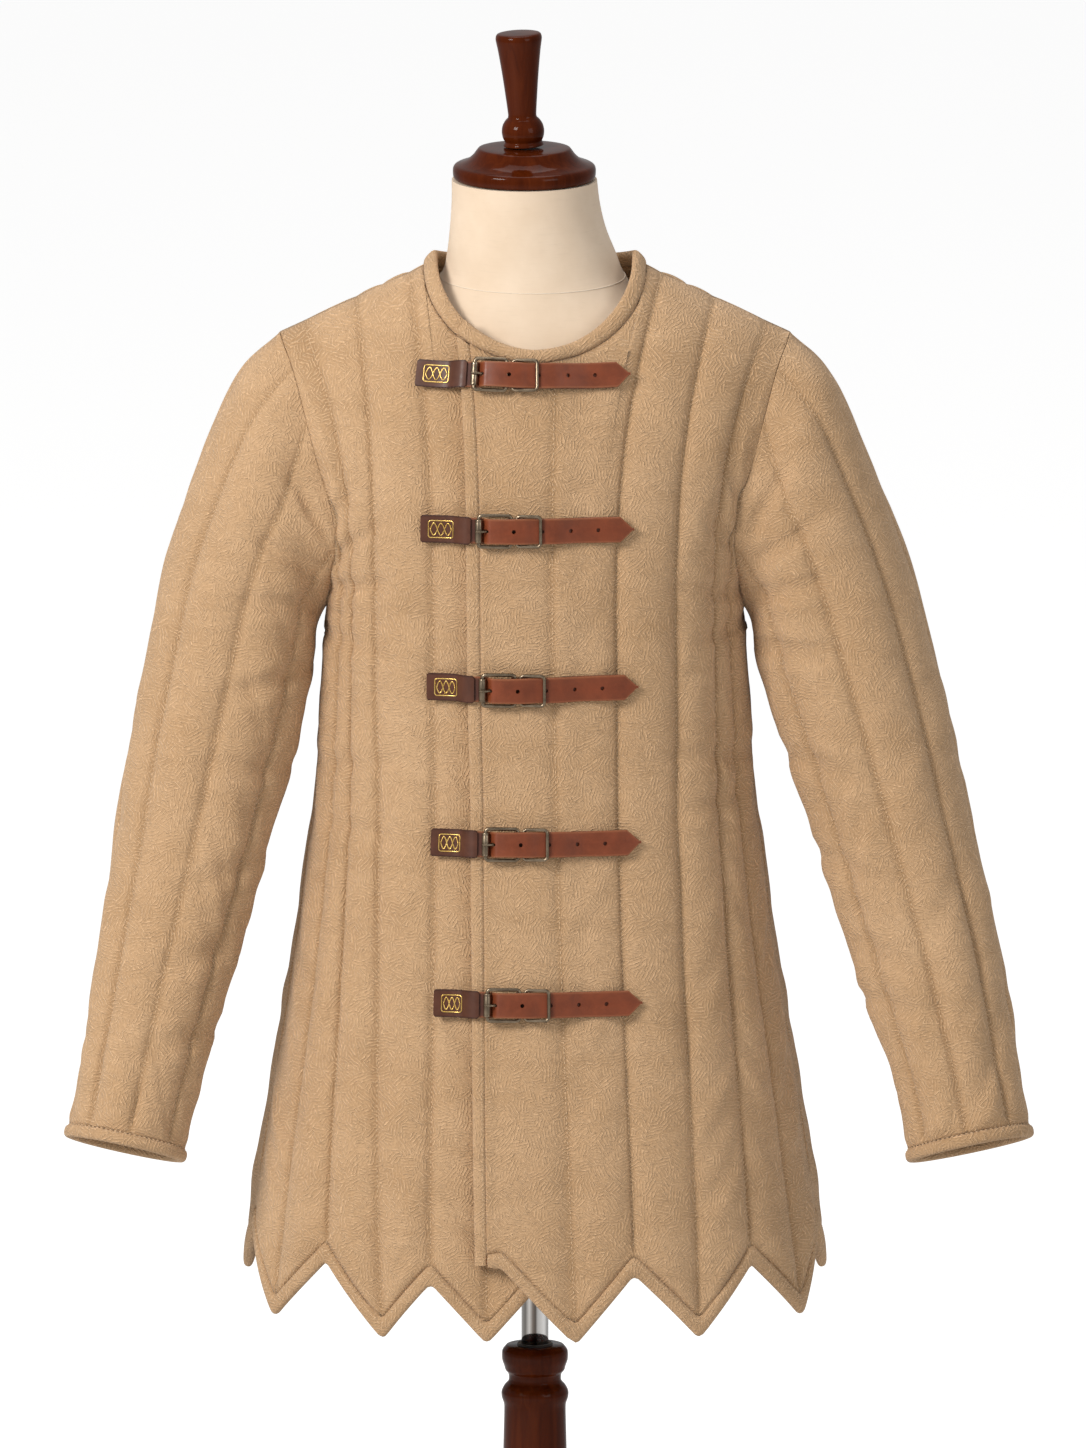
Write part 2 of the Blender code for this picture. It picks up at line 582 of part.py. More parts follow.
def binding_ring(seam, edge, n_seam, n_edge, shift):
    """One section of a rolled binding, from the seam to the edge."""
    ring = []
    for share, height in BINDING_SECTION:
        point = seam + (edge - seam) * share
        normal = unit(n_seam + (n_edge - n_seam) * share)
        ring.append(point + normal * (height + shift))
    return np.array(ring)


def make_panel(name, columns, side, corners, layer, mirror=False, seams=("side",)):
    """A front or back panel, and what its bindings need."""
    base, normals, shift, puffs = panel_grid(columns, side, corners, layer, mirror)
    for index, column in enumerate(columns):
        if column["name"] in seams:
            inward = index + 1 if index == 0 else index - 1
            base[index] += unit(base[inward] - base[index]) * SEAM
    out = base + normals * (shift + PUFF * puffs)[..., None]
    inner = base + normals * (shift - WALL - BACK_PUFF * puffs)[..., None]
    slab(name, out, inner, "quilted_cloth")
    return base, normals, shift


def make_hem_binding(name, columns, side, corners, layer, grid, mirror=False, first=0):
    base, normals, shift = grid
    rings = []
    for index, column in enumerate(columns):
        if index < first:
            continue
        hand = -1 if mirror else 1
        seam = base[index][0] - [0, 0, HEM_SEAM]
        edge_z = hem_height(corners, column["hem"])
        share = (edge_z - ANGLE_BASE) / (YOKE - ANGLE_BASE)
        angle = column["hem"] + (column["chest"] - column["hem"]) * np.clip(share, -0.2, 1)
        edge = ring_point(angle, edge_z)
        edge[0] *= hand if side > 0 else 1
        edge[:2] += seam[:2] - base[index][0][:2]
        rings.append(binding_ring(seam, edge, normals[index][0], normal_at(edge), shift[index][0]))
    trim_end(rings, 0)
    trim_end(rings, -1)
    return loft(name, rings, "cloth_binding")


def trim_end(rings, end):
    """Draws a strip's end back by a seam's gap."""
    other = 1 if end == 0 else -2
    direction = unit(rings[other].mean(axis=0) - rings[end].mean(axis=0))
    rings[end] = rings[end] + direction * GAP * 1.5


def make_neck_binding():
    """One strip: upper front edge, left neck, back, right neck, under front edge."""
    stations = [(LEFT_EDGE[4] - 0.0004, -1, "over")]
    stations += [(c["at"], -1, "over") for c in as_dicts(FRONT_LEFT) if c["end"] == "neck"]
    stations += [(NECK_SEAM[0], -1, "over")]
    back = [c["at"] for c in as_dicts(BACK_HALF) if c["end"] == "neck"]
    stations += [(x, 1, "") for x in back] + [(-x, 1, "") for x in reversed(back[:-1])]
    stations += [(-NECK_SEAM[0], -1, "under")]
    under = [c["at"] for c in mirrored_columns(FRONT_RIGHT) if c["end"] == "neck"]
    stations += [(x, -1, "under") for x in reversed(under)]
    rings = []
    for x, side, layer in stations:
        seam, edge = neck_point(x, side), neck_point(x, side, seam=False)
        normal = normal_at(seam)
        seam = seam + unit(edge - seam) * GAP
        rings.append(binding_ring(seam, edge, normal, normal, float(overlap_shift(side, x, layer))))
    return loft("neck_binding", rings, "cloth_binding")


def make_edge_binding(grid):
    """The strip down the upper front's edge, outside its first column."""
    base, normals, shift = grid
    column = dict(zip(COLUMNS, LEFT_EDGE))
    outer = column_points(column, -1, 1, HEM_LEFT[0][1] + BINDING)
    bottom = HEM_LEFT[0][1]
    low_seam = base[0][0] * [1, 1, 0] + [0, 0, bottom]
    low_edge = outer[0] * [1, 1, 0] + [0, 0, bottom]
    seams, edges = [low_seam, *base[0]], [low_edge, *outer]
    seams[-1] = seams[-1] - unit(seams[-1] - seams[-2]) * GAP * 4
    edges[-1] = edges[-1] - unit(edges[-1] - edges[-2]) * GAP * 4
    rings = []
    for seam, edge in zip(seams, edges):
        moved = seam + unit(edge - seam) * GAP
        lift = float(overlap_shift(-1, seam[0], "over"))
        rings.append(binding_ring(moved, edge, normal_at(seam), normal_at(edge), lift))
    return loft("front_edge_binding", rings, "cloth_binding")


# ---------------------------------------------------------------- sleeves
def sleeve_rings(rows, hand):
    """The armhole loop and the rings down the arm, each with a point at every line and channel."""
    heights = (ridge(SHOULDER_X), *ARMHOLE_STEPS, ARMHOLE[0][0])
    front = [armhole_point(float(z), -1, hand) for z in heights]
    back = [armhole_point(float(z), 1, hand) for z in reversed(heights[1:-1])]
    front[0] = np.array([hand * SHOULDER_X, 0, float(ridge(SHOULDER_X))])
    front[-1] = np.array([hand * ARMHOLE[0][1], 0, ARMHOLE[0][0]])
    rings = [np.array(front + back)]
    rows = [dict(zip(SLEEVE_COLUMNS, row)) for row in rows]
    centres = np.array([[hand * (r["outer_x"] + r["inner_x"]) / 2, r["y"],
                         (r["outer_z"] + r["inner_z"]) / 2] for r in rows])
    runs = unit(np.gradient(centres, axis=0))
    for r, centre, run in zip(rows, centres, runs):
        across = np.array([hand * (r["outer_x"] - r["inner_x"]), 0, r["outer_z"] - r["inner_z"]]) / 2
        forward = np.array([0, -1.0, 0])
        forward = unit(forward - run * forward.dot(run)) * r["half_depth"]
        turns = 2 * math.pi * np.arange(SLEEVE_SIDES) / SLEEVE_SIDES
        rings.append(centre + np.outer(np.cos(turns), across) + np.outer(np.sin(turns), forward))
    return np.array(rings)


def sleeve_surface(rings, at):
    """A smooth ring at any place along the sleeve."""
    keys = np.arange(len(rings))
    flat = rings.reshape(len(rings), -1)
    return np.array([curve(keys, flat[:, i])(at) for i in range(flat.shape[1])]).reshape(-1, 3)


def ring_normals(rings_at, at):
    """Outward normals of a sleeve's ring."""
    here = rings_at(at)
    ahead, behind = rings_at(min(at + 0.1, 9.0)), rings_at(max(at - 0.1, 0.0))
    along = ahead - behind
    around = np.roll(here, -1, axis=0) - np.roll(here, 1, axis=0)
    normals = unit(np.cross(along, around))
    if ((here - here.mean(axis=0)) * normals).sum() < 0:
        normals = -normals
    return here, normals


def make_sleeve(name, rows, hand):
    rings = sleeve_rings(rows, hand)

    def at_place(u):
        return sleeve_surface(rings, u)

    last = float(len(rings) - 1)
    places = np.arange(SLEEVE_SIDES)
    out, inner = [], []
    for u in SLEEVE_ROWS:
        here, normals = ring_normals(at_place, u)
        if u == 0.0:
            seam_normals = np.array([normal_at(p) for p in here])
            from_middle = unit(here - here.mean(axis=0))
            under = np.minimum(ease((places - 2) / 3.0), ease((14 - places) / 3.0))[:, None]
            normals = unit(seam_normals * (1 - under) + from_middle * under)
            here = here + unit(at_place(0.2) - here) * ARM_SEAM
        puff = (places % 2) * ease(u / 0.6) * ease((last - u) / 0.5)
        puff[[7, 9]] *= 0.3
        out.append(here + normals * (PUFF * puff)[:, None])
        inner.append(here - normals * (WALL + BACK_PUFF * puff)[:, None])
    tube_wall(name, out, inner, "quilted_cloth")
    return at_place, last


def tube_wall(name, out, inner, finish):
    """A tube with a wall, open at both ends."""
    rows, sides = len(out), len(out[0])
    verts = np.concatenate([np.concatenate(out), np.concatenate(inner)])
    total = rows * sides
    faces = []
    for k in range(sides):
        n = (k + 1) % sides
        for i in range(rows - 1):
            a, b, c, d = i * sides + k, i * sides + n, (i + 1) * sides + n, (i + 1) * sides + k
            faces.append((a, b, c, d))
            faces.append((total + a, total + d, total + c, total + b))
        faces.append((k, total + k, total + n, n))
        low = (rows - 1) * sides
        faces.append((low + k, low + n, total + low + n, total + low + k))
    return add_object(name, verts, faces, finish)


def make_cuff(name, at_place, last):
    seam, n_seam = ring_normals(at_place, CUFF_SEAM)
    edge, n_edge = ring_normals(at_place, last)
    extra = unit(edge - seam) * BINDING
    rings = []
    for k in range(SLEEVE_SIDES):
        start = seam[k] + unit(edge[k] - seam[k]) * GAP
        rings.append(binding_ring(start, seam[k] + extra[k], n_seam[k], n_edge[k], 0.0))
    return loft(name, rings, "cloth_binding", closed=True)


# ---------------------------------------------------------------- closures
def cloth_height(x, roller_x):
    """Height of the cloth's outside over the base surface, under a closure."""
    edge = roller_x - 0.0075
    left = float(overlap_shift(-1, x, "under")) + PUFF + 0.0008
    right = float(overlap_shift(-1, x, "over")) + PUFF + 0.0008
    return right if x > edge else left


def strap_height(roller_x, patch):
    """Height of the strap's underside over the base surface, along the row."""
    def left(d):
        return cloth_height(roller_x + d, roller_x) + GAP

    def right(d):
        return cloth_height(roller_x + d, roller_x) + CHAPE[2] + 2 * GAP

    over = OVER_LIFT + 0.0031
    keys = [-patch, -0.032, -0.024, -0.0175, -0.0120, -0.0065, -0.002, 0.0015, 0.0045, 0.0085, 0.0130, 0.0285]
    heights = [left(-patch), left(-0.032), left(-0.024) + 0.0025, over - 0.0025, over, over, 0.0104, 0.0106,
               0.0128, 0.0180, 0.0190, 0.0190]
    keys += [0.0400, 0.0480, 0.0548, 0.0700, 0.0850, 0.1000, 0.1200, STRAP_TIP]
    heights += [0.0172, right(0.0480) + 0.0006] + [right(d) for d in keys[14:]]
    return curve(keys, heights)


def on_row(z, x, height, across=0.0):
    """A point over the front at a closure's height: along it, out from it and across it."""
    base = np.array([x, -float(depth(-1, x, z)), z])
    normal = normal_at(base)
    up = unit(np.array([0, 0, 1.0]) - normal * normal[2])
    return base + normal * height + up * across


def ribbon(name, z, roller_x, places, underside, thickness, widths, finish, missing=()):
    """A flat strip along a closure, with its own half widths at each place."""
    top, bottom = [], []
    for d, half_widths in zip(places, widths):
        height = float(underside(d))
        top.append([on_row(z, roller_x + d, height + thickness, w) for w in half_widths])
        bottom.append([on_row(z, roller_x + d, height, w) for w in half_widths])
    return slab(name, np.array(top), np.array(bottom), finish, missing)


def rounded_loop(left, right, half, corner, height):
    """Points of a rectangular wire loop with rounded corners: along, across and height."""
    points = []
    for cx, cy, start in ((right - corner, half - corner, 0), (left + corner, half - corner, 90),
                          (left + corner, corner - half, 180), (right - corner, corner - half, 270)):
        for step in (0, 45, 90):
            a = math.radians(start + step)
            along, across = cx + corner * math.cos(a), cy + corner * math.sin(a)
            points.append((along, across, float(height(along))))
    return points


def wire(name, z, roller_x, points, radius, finish, sides=6, closed=True):
    """A round wire through points given along, across and over a closure."""
    path = np.array([on_row(z, roller_x + d, h, w) for d, w, h in points])
    ahead = np.roll(path, -1, axis=0) - np.roll(path, 1, axis=0)
    if not closed:
        ahead[0], ahead[-1] = path[1] - path[0], path[-1] - path[-2]
    rings = []
    for point, run, (d, _, _) in zip(path, unit(ahead), points):
        out = normal_at(on_row(z, roller_x + d, 0.0))
        out = unit(out - run * out.dot(run))
        aside = np.cross(run, out)
        turns = 2 * math.pi * np.arange(sides) / sides
        rings.append(point + radius * (np.outer(np.cos(turns), out) + np.outer(np.sin(turns), aside)))
    return loft(name, rings, finish, closed)


def make_closure(number, row):
    z, roller_x, patch = row["z"], row["roller_x"], row["patch"]
    label = f"_{number}"
    under = strap_height(roller_x, patch)
    full = (-STRAP_HALF, -HOLE_HALF, HOLE_HALF, STRAP_HALF)
    places = [-patch + 0.003, -0.032, -0.024, -0.0175, -0.0120, -0.0065, -0.002, 0.0015, *SLOT, 0.0150, 0.0285]
    missing = {(8, 1)}
    for k in range(4):
        centre = HOLE_FIRST + k * HOLE_PITCH
        missing.add((len(places), 1))
        places += [centre - HOLE_HALF, centre + HOLE_HALF]
        if k == 0:
            places += [0.0400, 0.0480]
        if k == 1:
            places += [0.0700]
    places += [STRAP_TIP - POINT, STRAP_TIP]
    widths = [full] * (len(places) - 1) + [(-0.0009, -0.0003, 0.0003, 0.0009)]
    ribbon("strap" + label, z, roller_x, places, under, STRAP_T, widths, "strap_leather", missing)

    start, stop, thickness = CHAPE
    places = [start, 0.040, 0.055, 0.070, 0.085, 0.100, stop - POINT, stop]
    widths = [(-STRAP_HALF, STRAP_HALF)] * (len(places) - 1) + [(-0.0009, 0.0009)]
    ribbon("chape" + label, z, roller_x, places, lambda d: cloth_height(roller_x + d, roller_x) + GAP,
           thickness, widths, "strap_leather")

    places = [-patch, -0.032, -0.024, -0.0175, -0.0120, -PATCH_STOP - 0.001]
    widths = [(-PATCH_HALF, PATCH_HALF)] * len(places)
    ribbon("patch" + label, z, roller_x, places, lambda d: under(d) + STRAP_T + GAP, PATCH_T, widths,
           "patch_leather")

    length, height, thickness, offset = BADGE
    middle = -patch + offset
    places = [middle - length / 2 + 0.0015, middle, min(middle + length / 2, -0.0250)]
    widths = [(-height / 2, height / 2)] * 3
    ribbon("badge" + label, z, roller_x, places, lambda d: under(d) + STRAP_T + PATCH_T + 3 * GAP,
           thickness, widths, "gold_thread")

    heights = curve((0.0, HINGE), (ROLLER_H, HINGE_H))
    wire("buckle" + label, z, roller_x, rounded_loop(0.0, HINGE, FRAME_HALF, 0.0030, heights), WIRE, "nickel")

    inner, outer, half = ROLLER
    axis = [on_row(z, roller_x, ROLLER_H, w) for w in (-half, half)]
    out = normal_at(on_row(z, roller_x, 0.0))
    aside = np.cross(unit(axis[1] - axis[0]), out)
    turns = 2 * math.pi * np.arange(12) / 12
    circle = np.outer(np.cos(turns), out) + np.outer(np.sin(turns), aside)
    tube_wall("roller" + label, [axis[0] + outer * circle, axis[1] + outer * circle],
              [axis[0] + inner * circle, axis[1] + inner * circle], "nickel")

    left, right, radius, half = KEEPER
    heights = curve((left, right), (HINGE_H, cloth_height(roller_x + right, roller_x) + 0.0070))
    wire("keeper" + label, z, roller_x, rounded_loop(left, right, half, 0.0030, heights), radius, "nickel")

    wire("prong" + label, z, roller_x, PRONG_PATH, PRONG_R, "nickel", sides=6, closed=False)


# ---------------------------------------------------------------- form and stand
def make_form():
    shape = table_curves(FORM, FORM_COLUMNS)
    rings = []
    for z, *_ in FORM:
        turns = 2 * math.pi * np.arange(FORM_SIDES) / FORM_SIDES
        x = shape["centre"](z) + shape["width"](z) * np.cos(turns)
        y = np.where(np.sin(turns) < 0, shape["front"](z), shape["back"](z)) * np.sin(turns)
        rings.append(np.stack([x, y, np.full(FORM_SIDES, z)], axis=1))
    return loft("form_torso", rings, "form_linen")


def make_stand():
    turned("neck_cap", CAP_PROFILE, "mahogany", place=(NECK_CENTRE, 0, 0))
    turned("finial", FINIAL_PROFILE, "mahogany", sides=24, place=(NECK_CENTRE - 0.0006, 0, 1.5767),
           lean=FINIAL_LEAN)
    top = FORM[0][0] - GAP
    turned("pole", ((0, POLE_FOOT), (POLE_R, POLE_FOOT), (POLE_R, top), (0, top)), "chrome")
    inner, outer, height = BUSHING
    low = COLUMN_TOP + GAP
    turned("pole_bushing", ((inner, low), (outer, low), (outer, low + height), (inner, low + height)),
           "bushing_plastic")
    bored = ((0, POLE_FOOT - GAP), (BORE, POLE_FOOT - GAP), (BORE, COLUMN_TOP), *COLUMN_PROFILE)
    turned("stand_column", bored, "mahogany")
    turned("stand_base", BASE_PROFILE, "mahogany", sides=36)


def make_back(half):
    """The back panel: one half's columns, then the same ones mirrored."""
    base, normals, shift, puffs = panel_grid(half, 1, HEM_BACK, "")
    flip = np.array([-1, 1, 1])
    base[0] += unit(base[1] - base[0]) * SEAM
    base = np.concatenate([base, (base[:-1] * flip)[::-1]])
    normals = np.concatenate([normals, (normals[:-1] * flip)[::-1]])
    puffs = np.concatenate([puffs, puffs[:-1][::-1]])
    out = base + normals * (PUFF * puffs)[..., None]
    inner = base - normals * (WALL + BACK_PUFF * puffs)[..., None]
    slab("back", out, inner, "quilted_cloth")
    rings = []
    for index in range(len(base)):
        column = half[index] if index < len(half) else half[2 * len(half) - 2 - index]
        hand = 1 if index < len(half) else -1
        edge_z = hem_height(HEM_BACK, column["hem"])
        share = np.clip((edge_z - ANGLE_BASE) / (YOKE - ANGLE_BASE), -0.2, 1)
        edge = ring_point(column["hem"] + (column["chest"] - column["hem"]) * share, edge_z)
        edge[0] *= hand
        seam = base[index][0] - [0, 0, HEM_SEAM]
        rings.append(binding_ring(seam, edge, normals[index][0], normal_at(edge), 0.0))
    trim_end(rings, 0)
    trim_end(rings, -1)
    loft("hem_binding_back", rings, "cloth_binding")


def main():
    for obj in list(bpy.data.objects):
        bpy.data.objects.remove(obj, do_unlink=True)
    left, right, back = as_dicts(FRONT_LEFT), mirrored_columns(FRONT_RIGHT), as_dicts(BACK_HALF)
    hem_right = tuple((-angle, z) for angle, z in reversed(HEM_RIGHT))
    grid = make_panel("front_left", left, -1, HEM_LEFT, "over")
    make_hem_binding("hem_binding_left", left, -1, HEM_LEFT, "over", grid)
    make_edge_binding(grid)
    grid = make_panel("front_right", right, -1, hem_right, "under", mirror=True)
    make_hem_binding("hem_binding_right", right, -1, hem_right, "under", grid, mirror=True)
    make_back(back)
    make_neck_binding()
    for name, rows, hand in (("left", SLEEVE_LEFT, 1), ("right", SLEEVE_RIGHT, -1)):
        at_place, last = make_sleeve("sleeve_" + name, rows, hand)
        make_cuff("cuff_binding_" + name, at_place, last)
    for number, row in enumerate(CLOSURES, 1):
        make_closure(number, dict(zip(CLOSURE_COLUMNS, row)))
    make_form()
    make_stand()


main()
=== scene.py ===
import math

import bpy
import numpy as np
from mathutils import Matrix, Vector


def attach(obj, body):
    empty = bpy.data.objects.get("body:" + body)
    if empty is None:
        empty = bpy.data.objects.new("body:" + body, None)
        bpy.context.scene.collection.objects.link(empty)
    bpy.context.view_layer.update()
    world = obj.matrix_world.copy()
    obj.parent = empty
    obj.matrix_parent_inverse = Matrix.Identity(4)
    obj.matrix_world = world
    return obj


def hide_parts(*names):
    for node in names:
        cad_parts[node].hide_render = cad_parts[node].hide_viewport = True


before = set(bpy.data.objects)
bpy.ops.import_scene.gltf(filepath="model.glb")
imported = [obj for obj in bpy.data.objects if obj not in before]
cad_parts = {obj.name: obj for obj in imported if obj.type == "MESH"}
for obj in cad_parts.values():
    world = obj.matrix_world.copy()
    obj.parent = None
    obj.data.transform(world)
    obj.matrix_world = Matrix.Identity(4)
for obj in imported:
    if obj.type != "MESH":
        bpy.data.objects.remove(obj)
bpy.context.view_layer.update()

# ---- cloth ----
SEAM = 0.00018          # each piece stops this far short of a seam
GAP = 0.0003            # clearance between loose pieces
ARM_SEAM = 0.0008       # the sleeve starts this far along from the armhole seam, where both pieces twist
HEM_SEAM = 0.0006       # drop from the panel to the hem binding, measured straight down a sloped seam
WALL = 0.0050           # quilted wall at a stitched line
PUFF = 0.0035           # how far a channel stands out between its lines
BINDING = 0.0120        # width of the rolled bindings
HEM_RISE = 0.0187       # the binding's width, measured straight up a 50 degree dag edge
CORNER_RISE = 0.0155    # the same at the upper front's corner channel, where the edge is nearly level
UNDER_SINK = 0.0045     # the under front lies this much deeper
OVER_LIFT = 0.0075      # and the upper front this much prouder, where they overlap

# ---- body: half width and the depths of front and back, at heights ----
BODY_COLUMNS = ("z", "width", "front", "back")
BODY = (
    (0.480, 0.2745, 0.2010, 0.1990),
    (0.571, 0.2620, 0.1960, 0.1930),
    (0.684, 0.2438, 0.1850, 0.1800),
    (0.759, 0.2309, 0.1760, 0.1720),
    (0.834, 0.2190, 0.1670, 0.1620),
    (0.909, 0.2093, 0.1570, 0.1480),
    (0.984, 0.1996, 0.1470, 0.1340),
    (1.060, 0.1955, 0.1410, 0.1240),
    (1.106, 0.1925, 0.1400, 0.1230),
    (1.150, 0.1900, 0.1410, 0.1260),
    (1.203, 0.1970, 0.1420, 0.1300),
    (1.260, 0.2180, 0.1420, 0.1320),
    (1.333, 0.2450, 0.1420, 0.1320),
    (1.400, 0.2590, 0.1420, 0.1320),
    (1.500, 0.2700, 0.1420, 0.1320),
)
ROUNDNESS = 2.35        # exponent of the body's rings, where 2 is an ellipse
ARCH_BASE = 1.17        # the shoulders start to arch in above this height
ARCH_POWER = {-1: 2.2, 1: 2.6}
RIDGE_TOP, RIDGE_SLOPE, RIDGE_ROUND = 1.5145, 0.470, 0.020

# ---- neckline: half width, height of its sides, drop at the front and at the back ----
NECK_SEAM = (0.1025, 1.4665, 0.0735, 0.0145)
NECK_EDGE = (0.0905, 1.4795, 0.0745, 0.0180)
NECK_POWER = {-1: 1.85, 1: 2.0}
NECK_EDGE_IN = 0.95     # the rolled edge leans in towards the neck by this factor

# ---- armhole seam: distance from the centre at heights ----
SHOULDER_X = 0.234
ARMHOLE = ((1.150, 0.190), (1.175, 0.187), (1.203, 0.1835), (1.2275, 0.183), (1.260, 0.1885),
           (1.2875, 0.1973), (1.333, 0.2097), (1.381, 0.2236), (1.4041, 0.234))
CLEAR_SLOPE = 0.03      # a column below its end stays this much of the drop inside the armhole
ARMHOLE_STEPS = (1.392, 1.378, 1.357, 1.333, 1.275, 1.215, 1.175)

# ---- panel columns: angle from the front centre at the chest and hem, and where the column ends ----
COLUMNS = ("name", "chest", "hem", "end", "at", "puff")
LEFT_EDGE = ("edge", -18.7, -11.9, "neck", -0.0705, 0.0)
FRONT_LEFT = (
    ("band", -14.8, -9.5, "neck", -0.0585, 0.0),
    ("channel", -5.0, -6.4, "neck", -0.0200, 0.6),
    ("line", 5.0, 7.6, "neck", 0.0180, 0.0),
    ("channel", 13.5, 14.0, "neck", 0.0660, 1.0),
    ("turn", 17.0, 16.5, "neck", 0.0930, 0.7),
    ("corner", 19.6, 18.4, "shoulder", 0.1025, 0.4),
    ("line", 23.1, 20.3, "shoulder", 0.1160, 0.0),
    ("channel", 32.5, 27.5, "shoulder", 0.1400, 1.0),
    ("line", 43.0, 34.7, "shoulder", 0.1640, 0.0),
    ("channel", 51.5, 41.9, "shoulder", 0.1880, 1.0),
    ("line", 60.5, 49.1, "shoulder", 0.2125, 0.0),
    ("point", 62.3, 52.0, "shoulder", SHOULDER_X, 0.4),
    ("arm1", 63.3, 54.5, "arm", 0, 0.8),
    ("arm2", 64.4, 57.0, "arm", 1, 1.0),
    ("arm3", 65.8, 59.7, "arm", 2, 0.9),
    ("arm4", 67.8, 62.5, "arm", 3, 0.6),
    ("line", 70.5, 65.6, "arm", 4, 0.0),
    ("channel", 75.5, 71.0, "arm", 5, 1.0),
    ("channel", 81.0, 76.5, "arm", 6, 0.8),
    ("side", 90.0, 81.5, "under", 0, 0.0),
)
FRONT_RIGHT = (
    ("under_edge", 2.0, -1.5, "neck", 0.0147, 0.0),
    ("channel", 8.0, 4.0, "neck", 0.0300, 0.2),
    ("line", 14.0, 9.9, "neck", 0.0450, 0.0),
    ("channel", 21.0, 15.6, "neck", 0.0720, 0.8),
    ("turn", 23.6, 17.4, "neck", 0.0930, 0.8),
    ("corner", 26.0, 19.2, "shoulder", 0.1025, 0.5),
    ("line", 29.4, 21.4, "shoulder", 0.1160, 0.0),
    ("channel", 39.5, 27.2, "shoulder", 0.1400, 1.0),
    ("line", 50.5, 33.0, "shoulder", 0.1640, 0.0),
    ("channel", 57.0, 40.0, "shoulder", 0.1880, 1.0),
    ("line", 62.5, 46.9, "shoulder", 0.2125, 0.0),
    ("point", 63.6, 50.0, "shoulder", SHOULDER_X, 0.4),
    ("arm1", 64.5, 52.5, "arm", 0, 0.8),
    ("arm2", 65.5, 55.0, "arm", 1, 1.0),
    ("arm3", 66.7, 57.7, "arm", 2, 0.9),
    ("arm4", 68.4, 60.5, "arm", 3, 0.6),
    ("line", 70.8, 63.3, "arm", 4, 0.0),
    ("channel", 75.5, 69.5, "arm", 5, 1.0),
    ("channel", 81.0, 75.5, "arm", 6, 0.8),
    ("side", 90.0, 81.5, "under", 0, 0.0),
)
BACK_HALF = (
    ("side", 90.0, 81.5, "under", 0, 0.0),
    ("channel", 99.0, 86.5, "arm", 6, 0.8),
    ("channel", 104.5, 92.0, "arm", 5, 1.0),
    ("line", 109.5, 98.0, "arm", 4, 0.0),
    ("arm4", 112.2, 101.5, "arm", 3, 0.6),
    ("arm3", 114.2, 104.0, "arm", 2, 0.9),
    ("arm2", 115.6, 106.3, "arm", 1, 1.0),
    ("arm1", 116.7, 108.3, "arm", 0, 0.8),
    ("point", 117.7, 110.0, "shoulder", SHOULDER_X, 0.4),
    ("line", 119.5, 111.7, "shoulder", 0.2125, 0.0),
    ("channel", 124.0, 118.5, "shoulder", 0.1880, 1.0),
    ("line", 129.8, 125.3, "shoulder", 0.1640, 0.0),
    ("channel", 136.0, 132.0, "shoulder", 0.1520, 1.0),
    ("line", 142.3, 139.0, "shoulder", 0.1400, 0.0),
    ("channel", 148.6, 145.8, "shoulder", 0.1280, 1.0),
    ("line", 154.9, 152.7, "shoulder", 0.1160, 0.0),
    ("corner", 158.5, 156.8, "shoulder", 0.1025, 0.4),
    ("turn", 160.3, 158.8, "neck", 0.0930, 0.6),
    ("channel", 162.5, 161.0, "neck", 0.0740, 0.8),
    ("line", 167.4, 166.3, "neck", 0.0480, 0.0),
    ("channel", 173.7, 173.2, "neck", 0.0240, 1.0),
    ("line", 180.0, 180.0, "neck", 0.0000, 0.0),
)

# ---- dagged hem: the outline's corners, angle and height ----
HEM_LEFT = ((-11.9, 0.568), (-6.4, 0.566), (7.6, 0.494), (20.3, 0.558), (34.7, 0.4955), (49.1, 0.5595),
            (65.6, 0.502), (81.5, 0.574))
HEM_RIGHT = ((-1.5, 0.552), (9.9, 0.494), (21.4, 0.550), (33.0, 0.4955), (46.9, 0.5630), (63.3, 0.503),
             (81.5, 0.574))
HEM_BACK = ((81.5, 0.574), (98.0, 0.518), (111.7, 0.562), (125.3, 0.4985), (139.0, 0.562),
            (152.7, 0.4985), (166.3, 0.562), (180.0, 0.4985))
YOKE = 1.120            # above this height a column runs to its own end
ANGLE_BASE = 0.560      # the height that the hem angles are given at

# ---- sleeves: outer and inner edge seen from the front, how far forward, and half depth ----
SLEEVE_COLUMNS = ("outer_x", "outer_z", "inner_x", "inner_z", "y", "half_depth")
SLEEVE_LEFT = (
    (0.2680, 1.3700, 0.1975, 1.1400, -0.002, 0.081),
    (0.2985, 1.3060, 0.2010, 1.1280, -0.005, 0.082),
    (0.3376, 1.2059, 0.2030, 1.1060, -0.010, 0.079),
    (0.3625, 1.1218, 0.2125, 1.0721, -0.018, 0.077),
    (0.3846, 1.0275, 0.2420, 0.9882, -0.030, 0.072),
    (0.4076, 0.9236, 0.2748, 0.8880, -0.050, 0.066),
    (0.4296, 0.8208, 0.3082, 0.7879, -0.075, 0.060),
    (0.4444, 0.7309, 0.3358, 0.7009, -0.100, 0.055),
    (0.4563, 0.6730, 0.3441, 0.6505, -0.115, 0.052),
)
